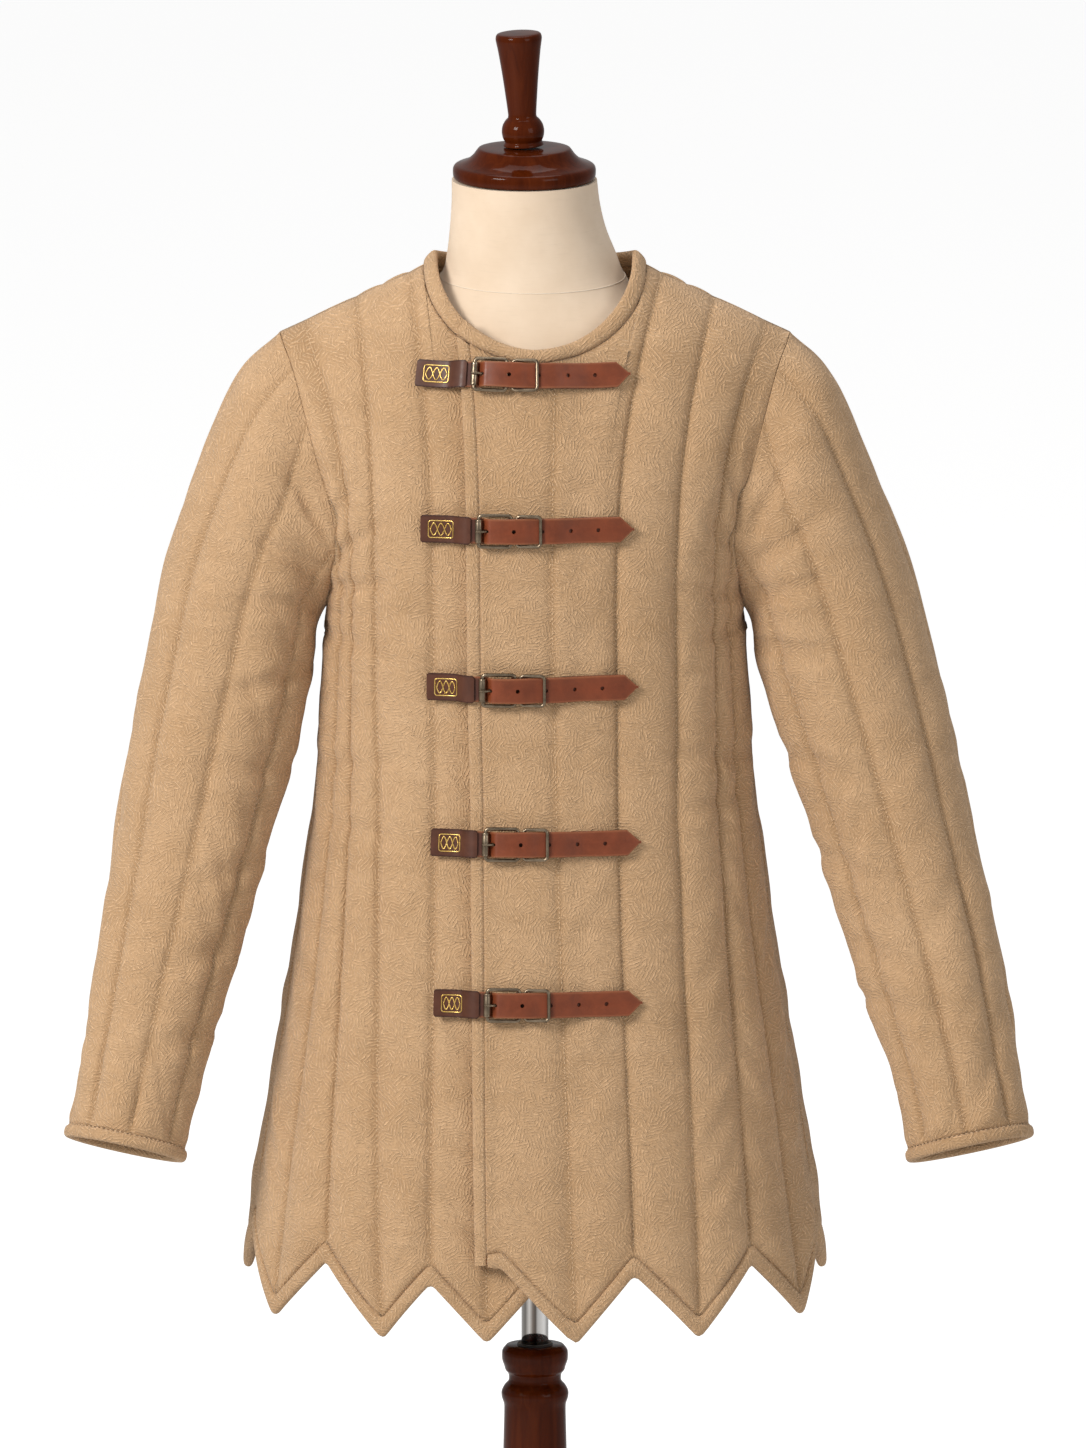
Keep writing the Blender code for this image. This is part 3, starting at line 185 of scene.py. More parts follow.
SLEEVE_RIGHT = (
    (0.2680, 1.3700, 0.1975, 1.1400, -0.002, 0.081),
    (0.2985, 1.3060, 0.2010, 1.1280, -0.005, 0.082),
    (0.3349, 1.2059, 0.2020, 1.1060, -0.010, 0.079),
    (0.3533, 1.1218, 0.2080, 1.0721, -0.018, 0.077),
    (0.3717, 1.0275, 0.2285, 0.9882, -0.030, 0.072),
    (0.3873, 0.9236, 0.2576, 0.8880, -0.050, 0.066),
    (0.4030, 0.8208, 0.2889, 0.7879, -0.075, 0.060),
    (0.4177, 0.7309, 0.3128, 0.7009, -0.100, 0.055),
    (0.4306, 0.6730, 0.3238, 0.6505, -0.115, 0.052),
)
SLEEVE_SIDES = 16       # eight stitched lines and the eight channels between them
CUFF_SEAM = 8.80        # the cuff binding starts here, in rings

# ---- closures: height, the roller's place and the patch's length to the roller, for each row ----
CLOSURE_COLUMNS = ("z", "roller_x", "patch")
CLOSURES = (
    (1.3815, -0.0529, 0.0538),
    (1.245, -0.0497, 0.0528),
    (1.098, -0.0463, 0.0503),
    (0.954, -0.0437, 0.0495),
    (0.808, -0.0423, 0.0488),
)
STRAP_HALF, STRAP_T = 0.0118, 0.0025
STRAP_TIP = 0.1385      # the point, from the roller
POINT = 0.0120
CHAPE = (0.0250, 0.1350, 0.0020)
PATCH_HALF, PATCH_T, PATCH_STOP = 0.0128, 0.0016, 0.0065
BADGE = (0.0240, 0.0156, 0.0008, 0.0175)
HOLE_FIRST, HOLE_PITCH = 0.0308, 0.0253
SLOT = (0.0040, 0.0110)
HINGE, WIRE, FRAME_HALF = 0.0285, 0.0018, 0.0145
ROLLER = (0.0023, 0.0035, 0.0108)
KEEPER = (0.0335, 0.0548, 0.0016, 0.0140)
PRONG_R = 0.0011
PRONG_PATH = ((0.0251, 0, 0.0160), (0.0120, 0, 0.0160), (0.0095, 0, 0.0167), (0.0065, 0, 0.0197),
              (0.0030, 0, 0.0219), (-0.0020, 0, 0.0220))
ROLLER_H, HINGE_H = 0.0168, 0.0163      # heights of the roller's and the hinge bar's axes over the body

# ---- dress form and stand ----
FORM_COLUMNS = ("z", "width", "front", "back", "centre")
FORM = (
    (0.7400, 0.150, 0.118, 0.132, 0.0),
    (0.7480, 0.172, 0.138, 0.150, 0.0),
    (0.8000, 0.184, 0.147, 0.153, 0.0),
    (0.9000, 0.180, 0.138, 0.130, 0.0),
    (1.0000, 0.170, 0.122, 0.104, 0.0),
    (1.0800, 0.167, 0.118, 0.098, 0.0),
    (1.1500, 0.168, 0.120, 0.102, 0.0),
    (1.2300, 0.168, 0.120, 0.102, 0.0),
    (1.3000, 0.174, 0.114, 0.098, 0.0),
    (1.3500, 0.176, 0.105, 0.090, 0.0),
    (1.4000, 0.150, 0.0910, 0.0780, 0.0),
    (1.4250, 0.118, 0.0800, 0.0680, -0.001),
    (1.4450, 0.0940, 0.0720, 0.0600, -0.002),
    (1.4600, 0.0830, 0.0680, 0.0570, -0.002),
    (1.4760, 0.0780, 0.0660, 0.0570, -0.003),
    (1.5000, 0.0718, 0.0655, 0.0600, -0.0064),
    (1.5250, 0.0680, 0.0655, 0.0655, -0.0085),
    (1.5460, 0.0667, 0.0655, 0.0655, -0.0097),
)
NECK_CENTRE = -0.0097
CAP_PROFILE = ((0.0, 1.5463), (0.0630, 1.5463), (0.0655, 1.5485), (0.0658, 1.5565), (0.0640, 1.5595),
               (0.0580, 1.5612), (0.0520, 1.5640), (0.0470, 1.5685), (0.0435, 1.5735), (0.0415, 1.5757),
               (0.0, 1.5757))
FINIAL_PROFILE = ((0.0, 0.0003), (0.0184, 0.0003), (0.0184, 0.0030), (0.0168, 0.0050), (0.0188, 0.0085),
                  (0.0197, 0.0140), (0.0188, 0.0200), (0.0158, 0.0250), (0.0128, 0.0275), (0.0132, 0.0340),
                  (0.0163, 0.0650), (0.0195, 0.0900), (0.0210, 0.0980), (0.0214, 0.1010), (0.0208, 0.1042),
                  (0.0189, 0.1058), (0.0, 0.1060))
FINIAL_LEAN = math.radians(-2.6)
POLE_R, POLE_FOOT = 0.0125, 0.3500
COLUMN_TOP = 0.4535
BUSHING = (0.0128, 0.0165, 0.0018)
BORE = 0.0128
COLUMN_PROFILE = ((0.0265, 0.4535), (0.0302, 0.4492), (0.0306, 0.4450), (0.0304, 0.4398), (0.0282, 0.4340),
                  (0.0275, 0.4305), (0.0242, 0.4270), (0.0239, 0.4200), (0.0283, 0.4158), (0.0311, 0.4100),
                  (0.0308, 0.4048), (0.0287, 0.3992), (0.0283, 0.3950), (0.0292, 0.3600), (0.0325, 0.2200),
                  (0.0345, 0.1200), (0.0300, 0.1050), (0.0300, 0.0980), (0.0400, 0.0900), (0.0430, 0.0780),
                  (0.0400, 0.0680), (0.0330, 0.0620), (0.0480, 0.0480), (0.0560, 0.0403), (0.0, 0.0403))
BASE_PROFILE = ((0.0, 0.0), (0.1850, 0.0), (0.1900, 0.0050), (0.1900, 0.0180), (0.1840, 0.0240),
                (0.1760, 0.0260), (0.1500, 0.0300), (0.0650, 0.0360), (0.0600, 0.0400), (0.0, 0.0400))


# ---- looks ----
FINE = 5                # fine columns to each step of the tables
HEM_ROWS, TOP_ROWS = 104, 64
PUFF_MOST, PUFF_SHARE = 0.0072, 0.150
SINK = 0.0034           # how far the stitched lines are pulled in
START_FADE, END_FADE, FADE_POWER = 0.014, 0.012, 0.6     # how the padding falls to the end seams
SHOULDER_CALM, SHOULDER_REACH = 0.45, 0.120     # the share of it left at the yoke's end, and how far that goes
HEAD_CALM, HEAD_REACH = 0.40, 0.130             # and the same at the sleeve's head
EDGE_TUCK = 0.0006      # how far the front strip reaches under the panel it is sewn to
VALLEY_SHADE_REACH = 0.0034         # how far the painted shade reaches from a stitched line
STITCH_PITCH, STITCH_LENGTH, STITCH_R = 0.0046, 0.0032, 0.00042
SLEEVE_FINE, SLEEVE_LENGTHS = 8, 170
TIP_ROUND = 1.0         # degrees over which the dag corners are rounded


# ---------------------------------------------------------------- curves
def curve(keys, values):
    """A smooth function through the keys, with slopes taken from the neighbouring points."""
    keys, values = np.array(keys, float), np.array(values, float)
    wide = (-1,) + (1,) * (values.ndim - 1)
    steps = np.diff(values, axis=0) / np.diff(keys).reshape(wide)
    slopes = np.concatenate([steps[:1], (steps[:-1] + steps[1:]) / 2, steps[-1:]])

    def value(x):
        x = np.clip(np.asarray(x, float), keys[0], keys[-1])
        i = np.clip(np.searchsorted(keys, x) - 1, 0, len(keys) - 2)
        span = keys[i + 1] - keys[i]
        t = (x - keys[i]) / span
        if values.ndim > 1:
            extra = x.shape + (1,) * (values.ndim - 1)
            t, span = t.reshape(extra), span.reshape(extra)
        return ((2 * t**3 - 3 * t**2 + 1) * values[i] + (t**3 - 2 * t**2 + t) * span * slopes[i]
                + (3 * t**2 - 2 * t**3) * values[i + 1] + (t**3 - t**2) * span * slopes[i + 1])
    return value


def table_curves(rows, names):
    rows = np.array(rows, float)
    return {name: curve(rows[:, 0], rows[:, i]) for i, name in enumerate(names) if i}


def ease(t):
    t = np.clip(t, 0.0, 1.0)
    return t * t * (3 - 2 * t)


def unit(v):
    v = np.asarray(v, float)
    return v / np.maximum(np.linalg.norm(v, axis=-1, keepdims=True), 1e-12)


def run_of(points, axis=0):
    """Distance along rows of points."""
    steps = np.linalg.norm(np.diff(points, axis=axis), axis=-1)
    start = np.zeros_like(np.take(steps, [0], axis=axis))
    return np.concatenate([start, np.cumsum(steps, axis=axis)], axis=axis)


def resample(points, lengths):
    run = run_of(points)
    return np.stack([np.interp(lengths, run, points[:, i]) for i in range(3)], axis=1)


def noise(u, v, seed):
    """Smooth seeded noise from -1 to 1, with features about one unit across."""
    grid = np.random.RandomState(seed).uniform(-1, 1, (61, 61))
    u, v = np.broadcast_arrays(np.asarray(u, float), np.asarray(v, float))
    i, j = np.floor(u).astype(int), np.floor(v).astype(int)
    s, t = ease(u - i), ease(v - j)
    i, j = i % 61, j % 61
    k, m = (i + 1) % 61, (j + 1) % 61
    return ((grid[i, j] * (1 - s) + grid[k, j] * s) * (1 - t) + (grid[i, m] * (1 - s) + grid[k, m] * s) * t)


body = table_curves(BODY, BODY_COLUMNS)
armhole_x = curve([z for z, _ in ARMHOLE], [x for _, x in ARMHOLE])


# ---------------------------------------------------------------- the garment's surface
def ridge(x):
    return RIDGE_TOP - RIDGE_SLOPE * np.sqrt(np.asarray(x) ** 2 + RIDGE_ROUND**2)


def arch_step(x, z):
    return np.clip((z - ARCH_BASE) / (ridge(x) - ARCH_BASE), 0.0, None)


def depth(side, x, z):
    reach = body["front"](z) if side < 0 else body["back"](z)
    across = np.clip(1 - (np.abs(x) / body["width"](z)) ** ROUNDNESS, 0, 1) ** (1 / ROUNDNESS)
    arch = np.sqrt(np.clip(1 - arch_step(x, z) ** ARCH_POWER[side], 0, 1))
    return reach * across * arch


def level_set(p):
    x, y, z = p[..., 0], p[..., 1], p[..., 2]
    front = y < 0
    reach = np.where(front, body["front"](z), body["back"](z))
    across = 1 - (np.abs(x) / body["width"](z)) ** ROUNDNESS
    step = arch_step(x, z)
    arch = 1 - np.where(front, step ** ARCH_POWER[-1], step ** ARCH_POWER[1])
    arch = np.sign(arch) * np.abs(arch) ** (ROUNDNESS / 2)
    return (np.abs(y) / reach) ** ROUNDNESS - across * arch


def normal_at(p, step=0.0015):
    p = np.asarray(p, float)
    slope = [level_set(p + step * axis) - level_set(p - step * axis) for axis in np.eye(3)]
    return unit(np.stack(slope, axis=-1))


def ring_point(angle, z):
    a = np.radians(angle)
    x = body["width"](z) * np.sin(a)
    front = np.cos(a) > 0
    reach = np.where(front, -body["front"](z), body["back"](z))
    across = np.clip(1 - np.abs(np.sin(a)) ** ROUNDNESS, 0, None) ** (1 / ROUNDNESS)
    return np.stack([x, reach * across, z + 0 * a], axis=-1)


def neck_point(x, side, seam=True):
    half, top, *drops = NECK_SEAM
    power = NECK_POWER[side]
    turn = np.arcsin(np.minimum(1.0, np.abs(x) / half) ** (power / 2))
    z = top - drops[0 if side < 0 else 1] * np.cos(turn) ** (2 / power)
    y = side * depth(side, x, z)
    if seam:
        return np.stack([x, y, z], axis=-1)
    half, top, *drops = NECK_EDGE
    z = top - drops[0 if side < 0 else 1] * np.cos(turn) ** (2 / power)
    return np.stack([np.sign(x) * half * np.sin(turn) ** (2 / power), y * NECK_EDGE_IN, z], axis=-1)


def armhole_point(z, side, hand):
    x = armhole_x(z)
    return np.stack([hand * x, side * depth(side, x, z), z + 0 * x], axis=-1)


def hem_height(corners, angle, soft=TIP_ROUND):
    """Height of the dagged edge, with its corners rounded off."""
    angles, heights = zip(*corners)
    angle = np.abs(angle) if angles[0] > 0 else np.asarray(angle, float)
    spread = np.linspace(-soft, soft, 7)
    inside = np.clip(angle[..., None] + spread, angles[0], angles[-1])
    return np.interp(inside, angles, heights).mean(axis=-1)


def overlap_shift(side, x, layer):
    if layer == "over":
        return OVER_LIFT * ease((0.048 - x) / 0.036)
    if layer == "under":
        return -UNDER_SINK * ease((x + 0.100) / 0.038)
    return 0.0 * np.asarray(x)


def as_dicts(rows):
    return [dict(zip(COLUMNS, row)) for row in rows]


def mirrored_columns(rows):
    out = []
    for c in as_dicts(rows):
        c["chest"], c["hem"] = -c["chest"], -c["hem"]
        if c["end"] == "neck":
            c["at"] = -c["at"]
        out.append(c)
    return out


def arm_height(column):
    if column["end"] == "arm":
        return ARMHOLE_STEPS[column["at"]]
    return ARMHOLE[0][0] if column["end"] == "under" else float(ridge(SHOULDER_X))


def ends_between(a, b, t, side, hand):
    """The top ends of the fine columns between two of the table's columns."""
    kinds = {a["end"], b["end"]}
    if kinds & {"arm", "under"}:
        return armhole_point(arm_height(a) * (1 - t) + arm_height(b) * t, side, hand)
    xs = [c["at"] if c["end"] == "neck" else hand * c["at"] for c in (a, b)]
    x = xs[0] * (1 - t) + xs[1] * t
    if "neck" in kinds:
        return neck_point(x, side)
    return np.stack([x, 0 * x, ridge(x)], axis=-1)


SEAMS = ("line", "band", "edge", "side", "under_edge")


def fine_columns(columns, side, hand, fine):
    """Chest and hem angles, ends, place in the table and kind of end of the fine columns."""
    chest, hem, ends, place, necked = [], [], [], [], []
    last = len(columns) - 2
    for i, (a, b) in enumerate(zip(columns[:-1], columns[1:])):
        t = np.linspace(0, 1, fine + 1)[:None if i == last else -1]
        if a["name"] in SEAMS:
            t = t ** 1.35
        elif b["name"] in SEAMS:
            t = 1 - (1 - t) ** 1.35
        chest.append(a["chest"] * (1 - t) + b["chest"] * t)
        hem.append(a["hem"] * (1 - t) + b["hem"] * t)
        ends.append(ends_between(a, b, t, side, hand))
        place.append(i + t)
        necked.append(np.full(len(t), a["end"] == "neck" or b["end"] == "neck"))
    return [np.concatenate(x) for x in (chest, hem, ends, place, necked)]


def hem_rise(columns, place):
    """How far the hem's seam lies above its edge."""
    rises = []
    for c in columns:
        rise = BINDING if c["name"] == "band" else HEM_RISE
        at_corner = c["name"] == "channel" and c["hem"] == HEM_LEFT[1][0]
        rises.append(CORNER_RISE if at_corner else rise)
    return np.interp(place, range(len(rises)), rises)


def surface_grid(columns, side, hand, corners, fine=FINE):
    """Points of a panel's base surface: fine columns from the hem's seam to their ends."""
    chest, hem, ends, place, necked = fine_columns(columns, side, hand, fine)
    flip = np.array([hand if side > 0 else 1, 1, 1])
    low_z = hem_height(corners, hem) + hem_rise(columns, place)

    def low(z):
        share = np.clip((z - ANGLE_BASE) / (YOKE - ANGLE_BASE), -0.2, 1)
        return ring_point(hem + (chest - hem) * share, z) * flip

    steps = np.linspace(0, 1, HEM_ROWS, endpoint=False)
    lower = np.stack([low(low_z + (YOKE - low_z) * s) for s in steps], axis=1)
    start, before = low(np.full_like(hem, YOKE)), low(np.full_like(hem, YOKE - 0.01))
    lean = (start - before)[:, :1] / 0.01
    w = np.linspace(0, 1, 120)
    z = start[:, 2:] + (ends[:, 2:] - start[:, 2:]) * np.sin(w * math.pi / 2)
    w = (z - start[:, 2:]) / (ends[:, 2:] - start[:, 2:])
    x = start[:, :1] + lean * (z - start[:, 2:]) * (1 - w) ** 2 + (ends[:, :1] - start[:, :1]) * w**3
    reach = np.where(z > ARMHOLE[0][0], armhole_x(z), 1) - CLEAR_SLOPE * (ends[:, 2:] - z)
    x = np.where(necked[:, None], x, np.sign(ends[:, :1]) * np.minimum(np.abs(x), reach))
    upper = np.stack([x, side * depth(side, x, z), z], axis=2)
    upper[:, -1] = ends
    rows = []
    for line in upper:
        rows.append(resample(line, np.linspace(0, run_of(line)[-1] - SEAM, TOP_ROWS + 1)))
    return np.concatenate([lower, np.array(rows)], axis=1), (chest, hem, place)


def channel_share(columns, place, base):
    """For every point: its share of the way across its channel, the channel's width and its number."""
    lines = [i for i, c in enumerate(columns) if c["name"] in SEAMS]
    at = [int(np.argmin(np.abs(place - i))) for i in lines]
    across = run_of(base)
    share, width = np.zeros(across.shape), np.ones(across.shape)
    number = np.zeros(len(place), int)
    for k, (a, b) in enumerate(zip(at[:-1], at[1:])):
        span = across[b] - across[a]
        share[a:b + 1] = (across[a:b + 1] - across[a]) / span
        width[a:b + 1] = span
        number[a:b + 1] = k
    for grid in (share, width):
        grid[:, HEM_ROWS:] = grid[:, HEM_ROWS:HEM_ROWS + 1]
    strength = [max(c["puff"] for c in columns[a:b + 1]) for a, b in zip(lines[:-1], lines[1:])]
    return share, width, number, np.array(strength), at


def quilting(share, width, along, zone, number, seed):
    """Height of the padded channels with their puckers and soft cross ripples."""
    dome = np.sin(np.pi * np.clip(share, 0, 1)) ** 0.50
    height = np.minimum(PUFF_MOST, PUFF_SHARE * width) * dome
    edge = np.minimum(share, 1 - share) * width
    pucker = noise(along / 0.016, number * 7.3, seed) * np.exp(-((edge / 0.011) ** 2)) * ease(edge / 0.004)
    ripple = noise(along / 0.024, share * 0.9 + number * 5.7, seed + 1)
    broad = noise(along / 0.060, share * 0.7 + number * 0.45, seed + 2)
    wide = ease(width / 0.030)
    return height + wide * dome * zone * (0.0010 * pucker + 0.0015 * ripple + 0.0016 * broad)


# Creases, seen from the front: ends (x, z), half width, depth
BODY_CREASES = (
    ((-0.190, 1.200), (-0.135, 1.252), 0.0060, 0.0030), ((-0.190, 1.172), (-0.120, 1.196), 0.0065, 0.0030),
    ((-0.192, 1.232), (-0.160, 1.290), 0.0060, 0.0026), ((0.192, 1.205), (0.150, 1.262), 0.0060, 0.0028),
    ((0.190, 1.170), (0.118, 1.190), 0.0065, 0.0030), ((0.192, 1.140), (0.140, 1.132), 0.0065, 0.0024),
    ((0.196, 1.240), (0.176, 1.300), 0.0050, 0.0024), ((-0.190, 1.130), (-0.135, 1.122), 0.0070, 0.0022),
    ((0.190, 1.020), (0.110, 1.035), 0.0075, 0.0020), ((-0.190, 1.010), (-0.110, 1.030), 0.0075, 0.0020),
    ((0.185, 0.985), (0.120, 0.975), 0.0075, 0.0018), ((-0.185, 0.960), (-0.100, 0.952), 0.0080, 0.0018),
)
SLEEVE_CREASES = {
    1: (((0.200, 1.236), (0.236, 1.300), 0.0060, 0.0040), ((0.205, 1.205), (0.262, 1.242), 0.0070, 0.0036),
        ((0.207, 1.170), (0.275, 1.190), 0.0075, 0.0034), ((0.212, 1.120), (0.285, 1.120), 0.0080, 0.0030),
        ((0.235, 1.020), (0.315, 1.000), 0.0085, 0.0026), ((0.262, 0.930), (0.330, 0.905), 0.0085, 0.0026),
        ((0.300, 0.850), (0.372, 0.825), 0.0085, 0.0026), ((0.305, 0.800), (0.380, 0.790), 0.0080, 0.0024)),
    -1: (((-0.190, 1.228), (-0.2254, 1.2865), 0.0050, 0.0060),
         ((-0.203, 1.196), (-0.262, 1.230), 0.0070, 0.0038),
         ((-0.206, 1.158), (-0.275, 1.172), 0.0075, 0.0034), ((-0.213, 1.100), (-0.290, 1.080), 0.0080, 0.0034),
         ((-0.232, 1.010), (-0.318, 1.020), 0.0085, 0.0028), ((-0.255, 0.930), (-0.330, 0.900), 0.0085, 0.0026),
         ((-0.285, 0.850), (-0.350, 0.830), 0.0085, 0.0026),
         ((-0.300, 0.770), (-0.370, 0.760), 0.0080, 0.0024)),
}


def creases(points, rows):
    """How deep the creases are at points, each a soft valley with a raised side."""
    total = np.zeros(points.shape[:-1])
    flat = points[..., [0, 2]]
    for a, b, half, deep in rows:
        a, b = np.array(a), np.array(b)
        along = b - a
        t = ((flat - a) @ along) / (along @ along)
        off = (flat - a - np.clip(t, 0, 1)[..., None] * along)
        side = (off @ np.array([-along[1], along[0]])) / np.linalg.norm(along)
        far = np.linalg.norm(off, axis=-1)
        fade = ease((1.1 - t) / 0.5) * ease((t + 0.25) / 0.3)
        raised = np.exp(-(((far - 2 * half) / (1.2 * half)) ** 2)) * (np.abs(side) > half)
        total += deep * fade * (-np.exp(-((far / half) ** 2)) + 0.55 * raised)
    return total * (points[..., 1] < 0.03)


# ---------------------------------------------------------------- meshes
def add_mesh(name, verts, faces, material, replaced=(), smooth=True, sharp=None):
    mesh = bpy.data.meshes.new(name)
    mesh.from_pydata(np.asarray(verts, float).tolist(), [], faces)
    mesh.update()
    mesh.materials.append(material)
    obj = bpy.data.objects.new(name, mesh)
    bpy.context.scene.collection.objects.link(obj)
    if smooth:
        mesh.shade_smooth()
    if sharp:
        mesh.set_sharp_from_angle(angle=math.radians(sharp))
    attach(obj, "root")
    if replaced:
        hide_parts(*replaced)
    return obj


def wall_mesh(name, out, inner, material, replaced, wrap=False):
    """A closed wall between an outer and an inner grid. A wrapped grid is a tube with open ends."""
    n, m = out.shape[:2]
    verts = np.concatenate([out.reshape(-1, 3), inner.reshape(-1, 3)])
    total = n * m
    faces = []
    for i in range(n if wrap else n - 1):
        a, b = i * m, ((i + 1) % n) * m
        for j in range(m - 1):
            faces.append((a + j, b + j, b + j + 1, a + j + 1))
            faces.append((total + a + j, total + a + j + 1, total + b + j + 1, total + b + j))
        faces.append((a, total + a, total + b, b))
        faces.append((a + m - 1, b + m - 1, total + b + m - 1, total + a + m - 1))
    if not wrap:
        for j in range(m - 1):
            e = (n - 1) * m
            faces.append((j, j + 1, total + j + 1, total + j))
            faces.append((e + j, total + e + j, total + e + j + 1, e + j + 1))
    obj = add_mesh(name, verts, faces, material, replaced)
    turn_out(obj.data)
    return obj


def turn_out(mesh):
    """Turns a closed mesh's faces outwards where they all point in."""
    points = np.empty(len(mesh.vertices) * 3)
    mesh.vertices.foreach_get("co", points)
    points = points.reshape(-1, 3)
    mesh.calc_loop_triangles()
    tris = np.empty(len(mesh.loop_triangles) * 3, int)
    mesh.loop_triangles.foreach_get("vertices", tris)
    a, b, c = (points[tris.reshape(-1, 3)[:, i]] for i in range(3))
    if (a * np.cross(b, c)).sum() < 0:
        mesh.flip_normals()


def ring_mesh(name, rings, material, replaced, closed=False):
    """A solid through rings of points."""
    count, sides = len(rings), len(rings[0])
    faces = []
    for i in range(count if closed else count - 1):
        j = (i + 1) % count
        for k in range(sides):
            n = (k + 1) % sides
            faces.append((i * sides + k, i * sides + n, j * sides + n, j * sides + k))
    if not closed:
        faces.append(tuple(range(sides)))
        faces.append(tuple((count - 1) * sides + k for k in reversed(range(sides))))
    obj = add_mesh(name, np.concatenate(rings), faces, material, replaced, sharp=50)
    turn_out(obj.data)
    return obj


def stitch_row(points, normals, sink=0.0):
    """Stitches along a line: one small lozenge of thread each."""
    run = run_of(points)
    out = []
    count = max(1, int(run[-1] / STITCH_PITCH))
    for k in range(count):
        middle = (k + 0.5) * run[-1] / count
        ends = [middle - STITCH_LENGTH / 2, middle, middle + STITCH_LENGTH / 2]
        a, p, b = resample(points, ends)
        n = np.array([np.interp(middle, run, normals[:, i]) for i in range(3)])
        along = unit(b - a)
        n = unit(n - along * (n @ along))
        out.append((p - n * sink, along, n))
    return out


def stitch_mesh(name, stitches, material):
    verts, faces = [], []
    turns = 2 * math.pi * np.arange(5) / 5
    for p, along, n in stitches:
        side = np.cross(along, n)
        first = len(verts)
        ring = STITCH_R * (np.outer(np.cos(turns), n) * 0.9 + np.outer(np.sin(turns), side) * 1.1)
        verts.append(p - along * STITCH_LENGTH / 2 - n * STITCH_R * 1.2)
        verts.extend(p - along * STITCH_LENGTH * 0.26 + ring)
        verts.extend(p + along * STITCH_LENGTH * 0.26 + ring)
        verts.append(p + along * STITCH_LENGTH / 2 - n * STITCH_R * 1.2)
        for k in range(5):
            m = (k + 1) % 5
            faces.append((first, first + 1 + m, first + 1 + k))
            faces.append((first + 1 + k, first + 1 + m, first + 6 + m, first + 6 + k))
            faces.append((first + 11, first + 6 + k, first + 6 + m))
    return add_mesh(name, np.array(verts), faces, material, ())


def tube(points, radius, sides=8, closed=False, flat=1.0, up=None):
    """Vertices and faces of a round wire along a line of points."""
    points = np.asarray(points, float)
    ahead = np.roll(points, -1, axis=0) - np.roll(points, 1, axis=0)
    if not closed:
        ahead[0], ahead[-1] = points[1] - points[0], points[-1] - points[-2]
    ahead = unit(ahead)
    normal = unit(np.cross(ahead[0], [0.3, 0.2, 0.9])) if up is None else up
    rings = []
    turns = 2 * math.pi * np.arange(sides) / sides
    for p, run in zip(points, ahead):
        normal = unit(normal - run * (normal @ run))
        aside = np.cross(run, normal)
        rings.append(p + radius * (np.outer(np.cos(turns), normal) * flat + np.outer(np.sin(turns), aside)))
    verts = np.concatenate(rings)
    faces = []
    count = len(rings)
    for i in range(count if closed else count - 1):
        j = (i + 1) % count
        for k in range(sides):
            m = (k + 1) % sides
            faces.append((i * sides + k, i * sides + m, j * sides + m, j * sides + k))
    if not closed:
        faces.append(tuple(range(sides)))
        faces.append(tuple((count - 1) * sides + k for k in reversed(range(sides))))
    return verts, faces


def merged(parts):
    verts, faces, count = [], [], 0
    for v, f in parts:
        verts.append(v)
        faces.extend(tuple(i + count for i in face) for face in f)
        count += len(v)
    return np.concatenate(verts), faces


# ---------------------------------------------------------------- materials
class Nodes:
    """A short way to build one material's nodes."""

    def __init__(self, name):
        self.material = bpy.data.materials.new(name)
        self.material.use_nodes = True
        self.tree = self.material.node_tree
        self.shader = self.tree.nodes["Principled BSDF"]
        coords = self.tree.nodes.new("ShaderNodeTexCoord")
        self.place = coords.outputs["Object"]

    def node(self, kind, **settings):
        made = self.tree.nodes.new("ShaderNode" + kind)
        inputs = settings.pop("inputs", {})
        for key, value in settings.items():
            setattr(made, key, value)
        for key, value in inputs.items():
            self.set(made.inputs[key], value)
        return made

    def set(self, socket, value):
        if isinstance(value, bpy.types.NodeSocket):
            self.tree.links.new(value, socket)
        else:
            socket.default_value = value

    def noise(self, scale, detail=3.0, rough=0.5, distortion=0.0, vector=None):
        made = self.node("TexNoise", inputs={"Vector": vector or self.place, "Scale": scale, "Detail": detail,
                                             "Roughness": rough, "Distortion": distortion})
        return made.outputs["Fac"]

    def stretch(self, x, y, z):
        return self.node("Mapping", inputs={"Vector": self.place, "Scale": (x, y, z)}).outputs["Vector"]

    def math(self, operation, a, b=0.0, clamp=False):
        made = self.node("Math", operation=operation, use_clamp=clamp)
        self.set(made.inputs[0], a)
        self.set(made.inputs[1], b)
        return made.outputs[0]

    def span(self, value, low, high, to_low=0.0, to_high=1.0):
        return self.node("MapRange", inputs={"Value": value, "From Min": low, "From Max": high,
                                             "To Min": to_low, "To Max": to_high}).outputs["Result"]

    def mix(self, share, a, b, blend="MIX"):
        made = self.node("Mix", data_type="RGBA", blend_type=blend)
        self.set(made.inputs[0], share)
        self.set(made.inputs[6], a if isinstance(a, bpy.types.NodeSocket) else (*a, 1))
        self.set(made.inputs[7], b if isinstance(b, bpy.types.NodeSocket) else (*b, 1))
        return made.outputs[2]

    def ramp(self, value, stops):
        made = self.node("ValToRGB", inputs={"Fac": value})
        while len(made.color_ramp.elements) < len(stops):
            made.color_ramp.elements.new(0.5)
        for element, (at, colour) in zip(made.color_ramp.elements, stops):
            element.position, element.color = at, (*colour, 1)
        return made.outputs["Color"]

    def bump(self, height, distance, strength=1.0, under=None):
        made = self.node("Bump", inputs={"Height": height, "Distance": distance, "Strength": strength})
        if under is not None:
            self.set(made.inputs["Normal"], under)
        return made.outputs["Normal"]

    def finish(self, **sockets):
        for name, value in sockets.items():
            self.set(self.shader.inputs[name.replace("_", " ")], value)
        return self.material


